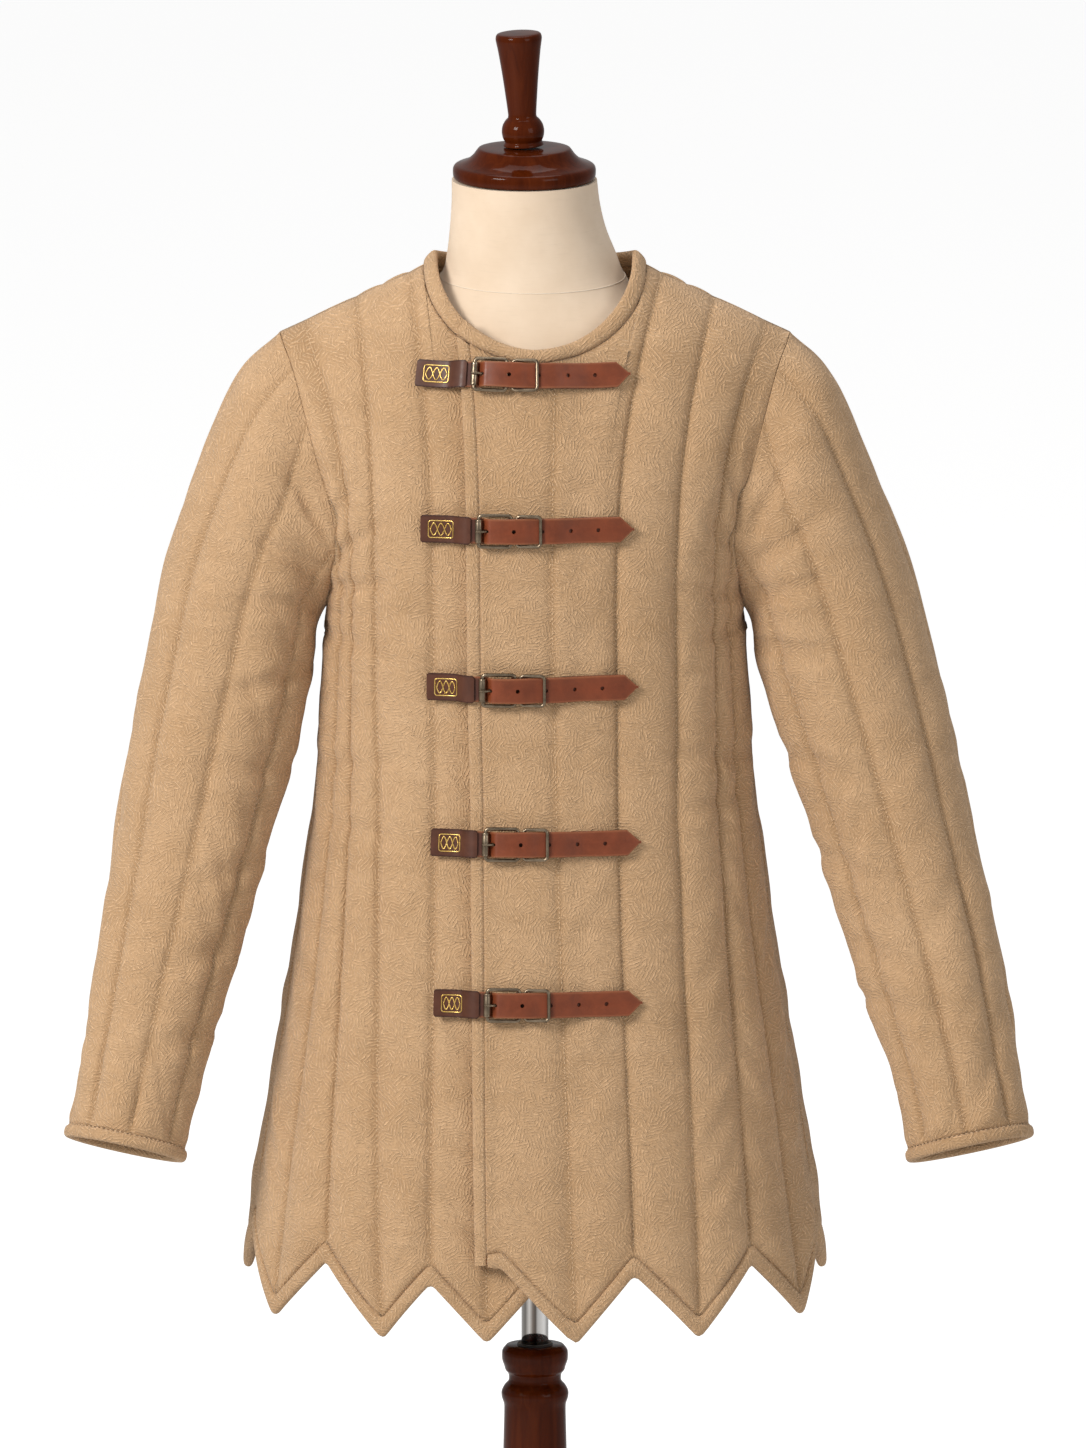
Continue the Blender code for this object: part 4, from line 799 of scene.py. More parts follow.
def cloth_material(name, light, dark, deep):
    """Brushed cotton: short raised strokes that run every way, a fine weave and soft blotches, and painted
    shade that darkens the colour near the stitched lines.
    """
    m = Nodes(name)
    warp = m.noise(38.0, 2.0)
    warped = m.node("VectorMath", operation="MULTIPLY_ADD",
                    inputs={0: m.node("TexNoise", inputs={"Vector": m.place, "Scale": 60.0, "Detail": 1.0}
                                      ).outputs["Color"], 1: (0.012, 0.012, 0.012), 2: m.place}).outputs[0]
    cells = m.node("TexVoronoi", inputs={"Vector": warped, "Scale": 95.0})
    cell_share = m.node("SeparateColor", inputs={"Color": cells.outputs["Color"]}).outputs[0]
    angle = m.math("MULTIPLY", cell_share, 6.28)
    turned_place = m.node("VectorRotate", rotation_type="Y_AXIS", inputs={"Vector": m.place, "Angle": angle})
    wave = m.node("TexWave", inputs={"Vector": turned_place.outputs["Vector"], "Scale": 110.0,
                                     "Distortion": 3.2, "Detail": 2.0, "Detail Scale": 2.2}).outputs["Fac"]
    strokes = m.span(wave, 0.42, 0.96)
    grain = m.noise(900.0, 2.0, 0.6)
    fine = m.noise(420.0, 2.0, 0.55, 0.8)
    fluff = m.noise(150.0, 3.0, 0.6, 1.2)
    blotch = m.noise(9.0, 3.0, 0.55, 0.6)
    streak = m.noise(1.0, 3.0, 0.6, 0.4, m.stretch(9.0, 9.0, 34.0))
    valley_shade = m.node("Attribute", attribute_name="valley_shade").outputs["Fac"]
    colour = m.mix(m.span(blotch, 0.30, 0.72), dark, light)
    colour = m.mix(m.span(streak, 0.42, 0.72, 0.0, 0.26), colour, deep)
    colour = m.mix(m.span(warp, 0.45, 0.75, 0.0, 0.08), colour, deep)
    # painted shade: the colour darkens towards the deep tone near the stitched lines
    colour = m.mix(m.math("MULTIPLY", valley_shade, 0.50), colour, deep)
    colour = m.mix(m.math("MULTIPLY", strokes, m.span(fluff, 0.38, 0.58, 0.22, 0.80)), colour,
                   tuple(min(1, c * 1.42) for c in light))
    colour = m.mix(m.span(fine, 0.30, 0.70, 0.34, 0.0), colour, deep)
    height = m.math("ADD", m.math("MULTIPLY", strokes, m.span(fluff, 0.35, 0.62, 0.15, 0.85)),
                    m.math("ADD", m.math("MULTIPLY", fine, 0.7), m.math("MULTIPLY", grain, 0.35)))
    normal = m.bump(height, 0.00100, 1.0, m.bump(fluff, 0.0007, 0.6))
    return m.finish(Base_Color=colour, Roughness=m.span(fine, 0.3, 0.7, 0.86, 0.97), Normal=normal,
                    Sheen_Weight=0.22, Sheen_Roughness=0.55, Sheen_Tint=(0.95, 0.86, 0.74, 1.0),
                    Specular_IOR_Level=0.22)


def leather_material(name, base, rim, by_shade=None):
    """Waxed leather: fine grain, cloudy colour and darker worn edges."""
    m = Nodes(name)
    cloud = m.noise(55.0, 4.0, 0.6, 0.5)
    pores = m.node("TexVoronoi", feature="DISTANCE_TO_EDGE",
                   inputs={"Vector": m.place, "Scale": 850.0}).outputs["Distance"]
    scuff = m.noise(260.0, 4.0, 0.65)
    colour = m.mix(m.span(cloud, 0.30, 0.72), tuple(c * 0.78 for c in base),
                   tuple(min(1, c * 1.18) for c in base))
    if by_shade is not None:
        shade = m.node("Attribute", attribute_name="shade").outputs["Fac"]
        dark = m.mix(m.span(cloud, 0.3, 0.7), tuple(c * 0.75 for c in by_shade), by_shade)
        colour = m.mix(shade, colour, dark)
    wear = m.node("Attribute", attribute_name="rim").outputs["Fac"]
    colour = m.mix(wear, colour, rim)
    colour = m.mix(m.span(scuff, 0.52, 0.80, 0.0, 0.22), colour, tuple(min(1, c * 1.8) for c in base))
    normal = m.bump(pores, 0.00012, 0.5, m.bump(scuff, 0.00025, 0.45))
    return m.finish(Base_Color=colour, Roughness=m.span(scuff, 0.25, 0.75, 0.36, 0.58), Normal=normal,
                    Specular_IOR_Level=0.28, Coat_Weight=0.08, Coat_Roughness=0.30)


def metal_material(name, light, dark, rough):
    m = Nodes(name)
    cloud = m.noise(300.0, 3.0, 0.5)
    patina = m.noise(95.0, 3.0, 0.55, 0.6)
    colour = m.mix(m.span(patina, 0.35, 0.70), light, dark)
    colour = m.mix(m.span(cloud, 0.55, 0.85, 0.0, 0.35), colour, tuple(c * 0.7 for c in dark))
    return m.finish(Base_Color=colour, Metallic=1.0, Roughness=m.span(cloud, 0.3, 0.7, rough, rough + 0.10),
                    Normal=m.bump(cloud, 0.00004, 0.15))


def wood_material(name):
    """Dark red lacquered wood with faint long grain and a smooth gloss."""
    m = Nodes(name)
    grain = m.noise(1.0, 5.0, 0.6, 0.8, m.stretch(120.0, 120.0, 11.0))
    rings = m.noise(1.0, 2.0, 0.5, 0.3, m.stretch(42.0, 42.0, 5.0))
    colour = m.ramp(m.math("ADD", m.math("MULTIPLY", grain, 0.6), m.math("MULTIPLY", rings, 0.4)),
                    ((0.30, (0.034, 0.0050, 0.0008)), (0.50, (0.060, 0.0095, 0.0015)),
                     (0.72, (0.092, 0.0170, 0.0030))))
    return m.finish(Base_Color=colour, Roughness=m.span(grain, 0.3, 0.7, 0.07, 0.12),
                    Normal=m.bump(grain, 0.0002, 0.03), Specular_IOR_Level=0.09)


def linen_material(name):
    """The form's stretched cover: a fine even weave in cream, a little mottled."""
    m = Nodes(name)
    warp = m.node("TexWave", bands_direction="Z", inputs={"Vector": m.place, "Scale": 420.0, "Distortion": 1.2,
                                                          "Detail": 2.0, "Detail Scale": 3.0}).outputs["Fac"]
    weft = m.node("TexWave", bands_direction="X", inputs={"Vector": m.place, "Scale": 420.0, "Distortion": 1.2,
                                                          "Detail": 2.0, "Detail Scale": 3.0}).outputs["Fac"]
    cloud = m.noise(14.0, 4.0, 0.6)
    slub = m.noise(1.0, 2.0, 0.5, 0.0, m.stretch(60.0, 60.0, 700.0))
    colour = m.mix(m.span(cloud, 0.35, 0.70), (0.66, 0.515, 0.375), (0.74, 0.60, 0.46))
    colour = m.mix(m.span(slub, 0.55, 0.80, 0.0, 0.16), colour, (0.52, 0.41, 0.30))
    colour = m.mix(m.math("MULTIPLY", warp, 0.06), colour, (0.62, 0.52, 0.40))
    weave = m.math("MULTIPLY", m.math("ADD", warp, weft), 0.5)
    normal = m.bump(weave, 0.0001, 0.35, m.bump(slub, 0.0001, 0.4))
    return m.finish(Base_Color=colour, Roughness=0.9, Normal=normal,
                    Sheen_Weight=0.12, Sheen_Roughness=0.5, Specular_IOR_Level=0.25)


def plain_material(name, colour, rough, metallic, scale=300.0):
    m = Nodes(name)
    cloud = m.noise(scale, 3.0)
    shade = m.mix(m.span(cloud, 0.35, 0.65), tuple(c * 0.92 for c in colour), colour)
    return m.finish(Base_Color=shade, Roughness=m.span(cloud, 0.3, 0.7, rough, rough + 0.06), Metallic=metallic,
                    Normal=m.bump(cloud, 0.00005, 0.15))


def chrome_material(name):
    """Polished tube with painted reflections: dark and light streaks of the studio down it, set by which way
    its side faces.
    """
    m = Nodes(name)
    facing = m.node("NewGeometry").outputs["Normal"]
    aside = m.node("SeparateXYZ", inputs={"Vector": facing}).outputs["X"]
    # painted reflections: the base colour runs through dark and light bands by how far the surface faces left
    # or right
    colour = m.ramp(m.span(aside, -1.0, 1.0), (
        (0.00, (0.30, 0.29, 0.28)), (0.16, (0.16, 0.15, 0.14)), (0.30, (0.62, 0.60, 0.58)),
        (0.42, (0.20, 0.17, 0.15)), (0.52, (0.10, 0.085, 0.075)), (0.60, (0.50, 0.49, 0.48)),
        (0.82, (0.80, 0.79, 0.78)), (1.00, (0.34, 0.33, 0.32))))
    fine_marks = m.noise(1.0, 2.0, 0.5, 0.0, m.stretch(900.0, 900.0, 30.0))
    return m.finish(Base_Color=colour, Metallic=1.0, Roughness=m.span(fine_marks, 0.3, 0.7, 0.05, 0.12),
                    Normal=m.bump(fine_marks, 0.00003, 0.2))


CLOTH_LIGHT, CLOTH_DARK, CLOTH_DEEP = (0.550, 0.358, 0.205), (0.475, 0.296, 0.158), (0.270, 0.150, 0.064)
cloth = cloth_material("quilted_cloth_look", CLOTH_LIGHT, CLOTH_DARK, CLOTH_DEEP)
rolled = cloth_material("binding_look", tuple(c * 0.97 for c in CLOTH_LIGHT),
                        tuple(c * 0.95 for c in CLOTH_DARK), CLOTH_DEEP)
thread = plain_material("thread_look", (0.62, 0.43, 0.26), 0.75, 0.0, 900.0)
strap_leather = leather_material("strap_leather_look", (0.165, 0.036, 0.012), (0.25, 0.085, 0.036),
                                 (0.085, 0.030, 0.020))
chape_leather = leather_material("chape_leather_look", (0.150, 0.042, 0.020), (0.10, 0.030, 0.016))
patch_leather = leather_material("patch_leather_look", (0.080, 0.026, 0.013), (0.036, 0.012, 0.007))
gold = metal_material("gold_thread_look", (0.86, 0.60, 0.20), (0.58, 0.37, 0.10), 0.28)
nickel = metal_material("nickel_look", (0.275, 0.215, 0.150), (0.165, 0.125, 0.085), 0.27)
wood = wood_material("mahogany_look")
linen = linen_material("form_linen_look")
seam_thread = plain_material("form_seam_look", (0.76, 0.66, 0.54), 0.85, 0.0, 800.0)
chrome = chrome_material("chrome_look")
black_plastic = plain_material("bushing_look", (0.018, 0.018, 0.018), 0.42, 0.0)


# ---------------------------------------------------------------- body panels
def section(sharpness=0.75, points=16, lift=0.0):
    """A rolled binding's section: share of the width and height over the surface."""
    turns = 2 * math.pi * np.arange(points) / points
    c, s = np.cos(turns), np.sin(turns)
    share = 0.5 + 0.5 * np.sign(c) * np.abs(c) ** sharpness
    height = -0.0020 + lift + 0.0048 * np.sign(s) * np.abs(s) ** 0.85
    return np.stack([share, height], axis=1)


def binding_rings(seam, edge, n_seam, n_edge, shift, shape):
    share, height = shape[:, 0, None], shape[:, 1, None]
    rings = []
    for a, b, na, nb, h in zip(seam, edge, n_seam, n_edge, shift):
        rings.append(a + (b - a) * share + unit(na + (nb - na) * share) * (height + h))
    return rings


def round_ends(rings):
    """Draws the end sections in, so that a strip ends in a folded edge."""
    for end, step in ((0, 1), (-1, -1)):
        middle = rings[end].mean(axis=0)
        along = unit(rings[end + step].mean(axis=0) - middle)
        first = middle + (rings[end] - middle) * 0.55 + along * GAP * 1.5
        second = rings[end] + along * 0.0011
        rings[end] = first
        rings.insert(1 if end == 0 else len(rings) - 1, second)
    return rings


def settled(height, from_start, from_end):
    """Draws the padding down to the surface at the seams at both ends."""
    return height * ease(from_start / START_FADE) ** FADE_POWER * ease(from_end / END_FADE) ** FADE_POWER


def make_panel(name, columns, side, hand, corners, layer, seed, zone_rows):
    base, (chest, hem, place) = surface_grid(columns, side, hand, corners)
    normals = normal_at(base)
    share, width, number, strength, lines = channel_share(columns, place, base)
    for index, near in ((0, 1), (-1, -2)):
        if columns[index]["name"] in ("side",):
            base[index] += unit(base[near] - base[index]) * SEAM
    shift = overlap_shift(side, base[..., 0], layer)
    along = run_of(base, axis=1)
    zone = np.interp(base[..., 2], *zip(*zone_rows))
    height = quilting(share, width, along, zone, number[:, None], seed) * strength[number][:, None]
    height += creases(base, BODY_CREASES if side < 0 else ())
    from_top = along[:, -1:] - along
    across = run_of(base)
    sink = SINK * ease(across / 0.012) * ease((across[-1:] - across) / 0.012)
    height = settled(height - sink, along, from_top)
    height *= SHOULDER_CALM + (1 - SHOULDER_CALM) * ease(from_top / SHOULDER_REACH)
    # painted shade mask: strongest at the stitched lines and along the panel's two end seams, none along the
    # hem row
    valley_shade = np.exp(-((np.minimum(share, 1 - share) * width / VALLEY_SHADE_REACH) ** 2))
    valley_shade[:, -1] = valley_shade[:, 0] = 1.0
    valley_shade[0] = 0.0
    return {"base": base, "normals": normals, "shift": shift, "height": height, "lines": lines, "along": along,
            "valley_shade": valley_shade,
            "chest": chest, "hem": hem, "place": place, "share": share, "columns": columns, "side": side,
            "corners": corners}


def panel_piece(name, panel):
    base, normals = panel["base"], panel["normals"]
    shift, height = panel["shift"], panel["height"]
    out = base + normals * (shift + height)[..., None]
    inner = base + normals * (shift - WALL - np.clip(height, 0, None) * 0.25)[..., None]
    obj = wall_mesh(name + "_cloth", out, inner, cloth, [name])
    mark_valley_shade(obj, panel["valley_shade"])
    stitches = []
    for i in panel["lines"]:
        if 0 < i < len(out) - 1:
            lift = normals[i] * 0.0003
            stitches += stitch_row(out[i, 2:-1] + lift[2:-1], normals[i, 2:-1])
    return obj, stitches


def mark_valley_shade(obj, valley_shade):
    """Writes how near each outer point is to a stitched line, as the mask of the painted shade there; the inner
    wall is left at 0.
    """
    layer = obj.data.attributes.new("valley_shade", "FLOAT", "POINT")
    layer.data.foreach_set("value", np.concatenate([valley_shade.ravel(), np.zeros(valley_shade.size)]))


def hem_edge(panel, hand=1):
    chest, hem = panel["chest"], panel["hem"]
    z = hem_height(panel["corners"], hem)
    share = np.clip((z - ANGLE_BASE) / (YOKE - ANGLE_BASE), -0.2, 1)
    return ring_point(hem + (chest - hem) * share, z) * [hand, 1, 1]


def hem_binding(name, panel, edge):
    seam = panel["base"][:, 0] + [0, 0, HEM_SEAM]
    n = panel["normals"][:, 0]
    rings = binding_rings(seam, edge, n, normal_at(edge), panel["shift"][:, 0], section())
    ring_mesh(name + "_cloth", round_ends(rings), rolled, [name])
    line = seam + (edge - seam) * 0.30 + n * (panel["shift"][:, 0] + 0.0024)[:, None]
    return stitch_row(line, n)


FRONT_ZONE = ((0.50, 1.25), (0.75, 1.20), (0.95, 0.90), (1.15, 0.75), (1.30, 0.45), (1.45, 0.35))
left_columns, back_columns = as_dicts(FRONT_LEFT), as_dicts(BACK_HALF)
right_columns = mirrored_columns(FRONT_RIGHT)
hem_right = tuple((-angle, z) for angle, z in reversed(HEM_RIGHT))

left = make_panel("front_left", left_columns, -1, 1, HEM_LEFT, "over", 11, FRONT_ZONE)
front_left, left_stitches = panel_piece("front_left", left)
left_stitches += hem_binding("hem_binding_left", left, hem_edge(left))
right = make_panel("front_right", right_columns, -1, -1, hem_right, "under", 29, FRONT_ZONE)
front_right, right_stitches = panel_piece("front_right", right)
right_stitches += hem_binding("hem_binding_right", right, hem_edge(right))

half = make_panel("back", back_columns, 1, 1, HEM_BACK, "", 47, FRONT_ZONE)
flip = np.array([-1, 1, 1])
back = dict(half)
for key in ("base", "normals"):
    back[key] = np.concatenate([half[key], (half[key][:-1] * flip)[::-1]])
for key in ("shift", "height", "valley_shade"):
    back[key] = np.concatenate([half[key], half[key][:-1][::-1]])
share_back = np.concatenate([half["share"], 1 - half["share"][:-1][::-1]])
other = noise(np.concatenate([half["along"], half["along"][:-1][::-1]]) / 0.033,
              share_back * 0.9 + np.arange(len(share_back))[:, None] * 0.05, 53)
back["height"] = back["height"] * (1 + 0.16 * other)
count = len(half["base"])
back["lines"] = sorted(set(half["lines"]) | {2 * count - 2 - i for i in half["lines"]})
back_piece, back_stitches = panel_piece("back", back)
edge = hem_edge(half)
edge = np.concatenate([edge, (edge[:-1] * flip)[::-1]])
back_stitches += hem_binding("hem_binding_back", back, edge)

# the strip down the upper front's edge
edge_columns = [dict(zip(COLUMNS, LEFT_EDGE)), left_columns[0]]
strip, _ = surface_grid(edge_columns, -1, 1, ((-11.9, HEM_LEFT[0][1]), (-9.0, HEM_LEFT[0][1])), fine=1)
bottom = HEM_LEFT[0][1]
seams = np.concatenate([[left["base"][0, 0] * [1, 1, 0] + [0, 0, bottom]], left["base"][0]])
edges = np.concatenate([[strip[0, 0] * [1, 1, 0] + [0, 0, bottom]], strip[0]])
seams[-1] -= unit(seams[-1] - seams[-2]) * GAP * 4
edges[-1] -= unit(edges[-1] - edges[-2]) * GAP * 4
moved = seams - unit(edges - seams) * EDGE_TUCK
lift = overlap_shift(-1, seams[:, 0], "over")
rings = binding_rings(moved, edges, normal_at(seams), normal_at(edges), lift, section(0.6, lift=-0.0008))
ring_mesh("front_edge_binding_cloth", round_ends(rings), rolled, ["front_edge_binding"])
inside = seams[2:] + unit(edges[2:] - seams[2:]) * 0.0030
left_stitches += stitch_row(inside + normal_at(inside) * (lift[2:, None] + 0.0015), normal_at(inside))

# the neck's strip: upper front edge, wearer's left, back, right, under front edge
xs = [np.linspace(LEFT_EDGE[4] - 0.0004, 0.0930, 60)[:-1], np.linspace(0.0930, NECK_SEAM[0], 14)]
stations = [(x, -1, "over") for part in xs for x in part]
stations += [(x, 1, "") for x in NECK_SEAM[0] * np.sin(np.linspace(math.pi / 2, -math.pi / 2, 90))[1:]]
under_x = -NECK_SEAM[0] * np.cos(np.linspace(0, math.acos(0.0147 / NECK_SEAM[0]), 46))[1:]
stations += [(x, -1, "under") for x in under_x]
neck_rings, neck_line, neck_normals = [], [], []
neck_shape = section(0.8, lift=0.0006)
for x, side, layer in stations:
    seam, edge = neck_point(x, side), neck_point(x, side, seam=False)
    normal = normal_at(seam)
    seam = seam + unit(edge - seam) * GAP
    shift = overlap_shift(side, x, layer)
    neck_rings += binding_rings([seam], [edge], [normal], [normal], [shift], neck_shape)
    neck_line.append(seam + (edge - seam) * 0.26 + normal * (shift + 0.0028))
    neck_normals.append(normal)
ring_mesh("neck_binding_cloth", round_ends(neck_rings), rolled, ["neck_binding"])
neck_line, neck_normals = np.array(neck_line), np.array(neck_normals)
first = sum(layer == "over" for _, _, layer in stations)
second = first + sum(layer == "" for _, _, layer in stations)
left_stitches += stitch_row(neck_line[:first - 1], neck_normals[:first - 1])
back_stitches += stitch_row(neck_line[first + 1:second], neck_normals[first + 1:second])
right_stitches += stitch_row(neck_line[second + 2:], neck_normals[second + 2:])


# ---------------------------------------------------------------- sleeves
def sleeve_rings(rows, hand):
    """The armhole loop and the rings down the arm, with SLEEVE_FINE points to each of the frame's places."""
    sides = SLEEVE_SIDES * SLEEVE_FINE
    share = np.linspace(0, 1, SLEEVE_FINE, endpoint=False)
    places = np.concatenate([k + share for k in range(SLEEVE_SIDES)])
    heights = np.array([float(ridge(SHOULDER_X)), *ARMHOLE_STEPS, ARMHOLE[0][0]])
    front = places <= 8
    z = np.interp(np.where(front, places, 16 - places), np.arange(9), heights)
    loop = np.where(front[:, None], armhole_point(z, -1, hand), armhole_point(z, 1, hand))
    rings = [loop]
    rows = [dict(zip(SLEEVE_COLUMNS, row)) for row in rows]
    centres = np.array([[hand * (r["outer_x"] + r["inner_x"]) / 2, r["y"],
                         (r["outer_z"] + r["inner_z"]) / 2] for r in rows])
    runs = unit(np.gradient(centres, axis=0))
    turns = 2 * math.pi * places / SLEEVE_SIDES
    for r, centre, run in zip(rows, centres, runs):
        across = np.array([hand * (r["outer_x"] - r["inner_x"]), 0, r["outer_z"] - r["inner_z"]]) / 2
        forward = np.array([0, -1.0, 0])
        forward = unit(forward - run * forward.dot(run)) * r["half_depth"]
        rings.append(centre + np.outer(np.cos(turns), across) + np.outer(np.sin(turns), forward))
    assert len(places) == sides
    return np.array(rings), places


def sleeve_piece(side_name, rows, hand, seed):
    rings, places = sleeve_rings(rows, hand)
    surface = curve(np.arange(len(rings)), rings)
    u = np.concatenate([np.linspace(0, 2, 56)[:-1], np.linspace(2, CUFF_SEAM, SLEEVE_LENGTHS - 56)])
    grid = surface(u)
    along_step = np.gradient(grid, axis=0)
    around = np.roll(grid, -1, axis=1) - np.roll(grid, 1, axis=1)
    normals = unit(np.cross(along_step, around))
    middle = grid.mean(axis=1, keepdims=True)
    if ((grid - middle) * normals).sum() < 0:
        normals = -normals
    body_normals = normal_at(grid[0])
    for row in range(10):
        keep = ease(row / 10.0)
        normals[row] = unit(normals[row] * (0.35 + keep) + body_normals * (1 - keep))
    grid[0] += unit(surface(0.2) - grid[0]) * ARM_SEAM
    run = run_of(grid)
    share = (places / 2) % 1.0
    number = (places // 2).astype(int)
    around_len = np.linalg.norm(around, axis=-1).sum(axis=1) / 2
    width = np.repeat((around_len / 8)[:, None], len(places), axis=1)
    zone = np.interp(u, (0, 2, 4, 6, 8, 9), (0.5, 0.8, 1.0, 1.25, 1.3, 1.2))[:, None]
    height = quilting(np.broadcast_to(share, width.shape), width, run, zone, number[None, :], seed)
    height += creases(grid, SLEEVE_CREASES[hand])
    cuff_from = run[-1:] - run
    height = settled(height - SINK, run, cuff_from)
    height *= HEAD_CALM + (1 - HEAD_CALM) * ease(run / HEAD_REACH)
    out = grid + normals * height[..., None]
    inner = grid - normals * (WALL + np.clip(height, 0, None) * 0.2)[..., None]
    name = "sleeve_" + side_name
    obj = wall_mesh(name + "_cloth", out.transpose(1, 0, 2), inner.transpose(1, 0, 2), cloth, [name],
                    wrap=True)
    # painted shade mask near the sleeve's stitched lines
    mark_valley_shade(obj, np.exp(-((np.minimum(share, 1 - share) * width / VALLEY_SHADE_REACH) ** 2)).T)
    stitches = []
    for k in range(0, len(places), 2 * SLEEVE_FINE):
        stitches += stitch_row(out[4:-2, k] + normals[4:-2, k] * 0.0003, normals[4:-2, k])
    seam, n_seam = grid[-1], normals[-1]
    last = surface(float(len(rings) - 1))
    start = seam + unit(last - seam) * GAP
    edge = seam + unit(last - seam) * BINDING
    cuff = binding_rings(start, edge, n_seam, n_seam, np.zeros(len(seam)), section(0.8, lift=0.0004))
    ring_mesh("cuff_" + name + "_cloth", cuff, rolled, ["cuff_binding_" + side_name],
              closed=True)
    stitches += stitch_row(start + n_seam * 0.0004, n_seam)
    return obj, stitches


sleeve_left, left_sleeve_stitches = sleeve_piece("left", SLEEVE_LEFT, 1, 71)
sleeve_right, right_sleeve_stitches = sleeve_piece("right", SLEEVE_RIGHT, -1, 83)
for name, stitches in (("front_left", left_stitches), ("front_right", right_stitches), ("back", back_stitches),
                       ("sleeve_left", left_sleeve_stitches), ("sleeve_right", right_sleeve_stitches)):
    stitch_mesh("stitches_" + name, stitches, thread)


# ---------------------------------------------------------------- closures
def on_row(z, x, height, across=0.0):
    """A point over the front at a closure's height: along it, out from it and across it."""
    base = np.array([x, -float(depth(-1, x, z)), z])
    normal = normal_at(base)
    up = unit(np.array([0, 0, 1.0]) - normal * normal[2])
    return base + normal * height + up * across


def cloth_height(x, roller_x):
    left = float(overlap_shift(-1, x, "under")) + PUFF + 0.0008
    right = float(overlap_shift(-1, x, "over")) + PUFF + 0.0008
    return right if x > roller_x - 0.0075 else left


def strap_height(roller_x, patch):
    """Height of the strap's underside over the base surface, along the row."""
    def left(d):
        return cloth_height(roller_x + d, roller_x) + GAP

    def right(d):
        return cloth_height(roller_x + d, roller_x) + CHAPE[2] + 2 * GAP

    over = OVER_LIFT + 0.0031
    keys = [-patch, -0.032, -0.024, -0.0175, -0.0120, -0.0065, -0.002, 0.0015, 0.0045, 0.0085, 0.0130, 0.0285]
    heights = [left(-patch), left(-0.032), left(-0.024) + 0.0025, over - 0.0025, over, over, 0.0104, 0.0106,
               0.0128, 0.0180, 0.0190, 0.0190]
    keys += [0.0400, 0.0480, 0.0548, 0.0700, 0.0850, 0.1000, 0.1200, STRAP_TIP]
    heights += [0.0172, right(0.0480) + 0.0006] + [right(d) for d in keys[14:]]
    return curve(keys, heights)


def strip_piece(name, z, roller_x, start, stop, underside, thick, half_at, material, replaced,
                shade=None):
    """A leather strip along a closure with rounded edges. Its rim attribute is 1 along the cut edges."""
    steps = int((stop - start) / 0.0013)
    places = np.linspace(start, stop, steps)
    edge = min(thick * 0.42, 0.0007)
    verts, rims, shades = [], [], []
    for d in places:
        half = half_at(d)
        h = float(underside(d))
        spots = [(-half + edge, 0, 0.7), (-half, edge, 1), (-half, thick - edge, 1), (-half + edge, thick, 0.8),
                 (-half + 3 * edge, thick, 0.1), (0.0, thick + 0.00015, 0), (half - 3 * edge, thick, 0.1),
                 (half - edge, thick, 0.8), (half, thick - edge, 1), (half, edge, 1), (half - edge, 0, 0.7)]
        for w, up, rim in spots:
            verts.append(on_row(z, roller_x + d, h + up, w))
            rims.append(rim)
            shades.append(0.0 if shade is None else float(ease((shade - d) / 0.002)))
    sides = 11
    faces = []
    for i in range(steps - 1):
        for k in range(sides):
            m = (k + 1) % sides
            faces.append((i * sides + k, i * sides + m, (i + 1) * sides + m, (i + 1) * sides + k))
    faces.append(tuple(range(sides)))
    faces.append(tuple((steps - 1) * sides + k for k in reversed(range(sides))))
    obj = add_mesh(name, np.array(verts), faces, material, replaced, sharp=35)
    turn_out(obj.data)
    for label, values in (("rim", rims), ("shade", shades)):
        layer = obj.data.attributes.new(label, "FLOAT", "POINT")
        layer.data.foreach_set("value", values)
    return obj


def punch(obj, holes):
    """Cuts round holes right through a strip. holes are (centre, direction, radius, stretch along)."""
    parts = []
    for centre, normal, along, radius, stretch in holes:
        side = np.cross(normal, along)
        turns = 2 * math.pi * np.arange(20) / 20
        ring = np.outer(np.cos(turns), along) * (radius + stretch) + np.outer(np.sin(turns), side) * radius
        verts = np.concatenate([centre - normal * 0.004 + ring, centre + normal * 0.005 + ring])
        faces = [(k, (k + 1) % 20, 20 + (k + 1) % 20, 20 + k) for k in range(20)]
        faces += [tuple(reversed(range(20))), tuple(20 + k for k in range(20))]
        parts.append((verts, faces))
    verts, faces = merged(parts)
    mesh = bpy.data.meshes.new("cutter")
    mesh.from_pydata(verts.tolist(), [], faces)
    turn_out(mesh)
    cutter = bpy.data.objects.new("cutter", mesh)
    bpy.context.scene.collection.objects.link(cutter)
    cut = obj.modifiers.new("holes", "BOOLEAN")
    cut.operation, cut.object, cut.solver = "DIFFERENCE", cutter, "EXACT"
    graph = bpy.context.evaluated_depsgraph_get()
    done = bpy.data.meshes.new_from_object(obj.evaluated_get(graph))
    obj.modifiers.clear()
    old = obj.data
    obj.data = done
    bpy.data.meshes.remove(old)
    bpy.data.objects.remove(cutter, do_unlink=True)
    bpy.data.meshes.remove(mesh)


def rounded_loop(left_end, right_end, half, corner, height, fine=7):
    points = []
    corners = ((right_end - corner, half - corner, 0), (left_end + corner, half - corner, 90),
               (left_end + corner, corner - half, 180), (right_end - corner, corner - half, 270))
    for cx, cy, start in corners:
        for step in np.linspace(0, 90, fine):
            a = math.radians(start + step)
            points.append((cx + corner * math.cos(a), cy + corner * math.sin(a)))
        along_end = points[-1]
        following = corners[(corners.index((cx, cy, start)) + 1) % 4]
        a = math.radians(following[2])
        target = (following[0] + corner * math.cos(a), following[1] + corner * math.sin(a))
        for s in (0.25, 0.5, 0.75):
            points.append(tuple(p * (1 - s) + q * s for p, q in zip(along_end, target)))
    return [(d, w, float(height(d))) for d, w in points]


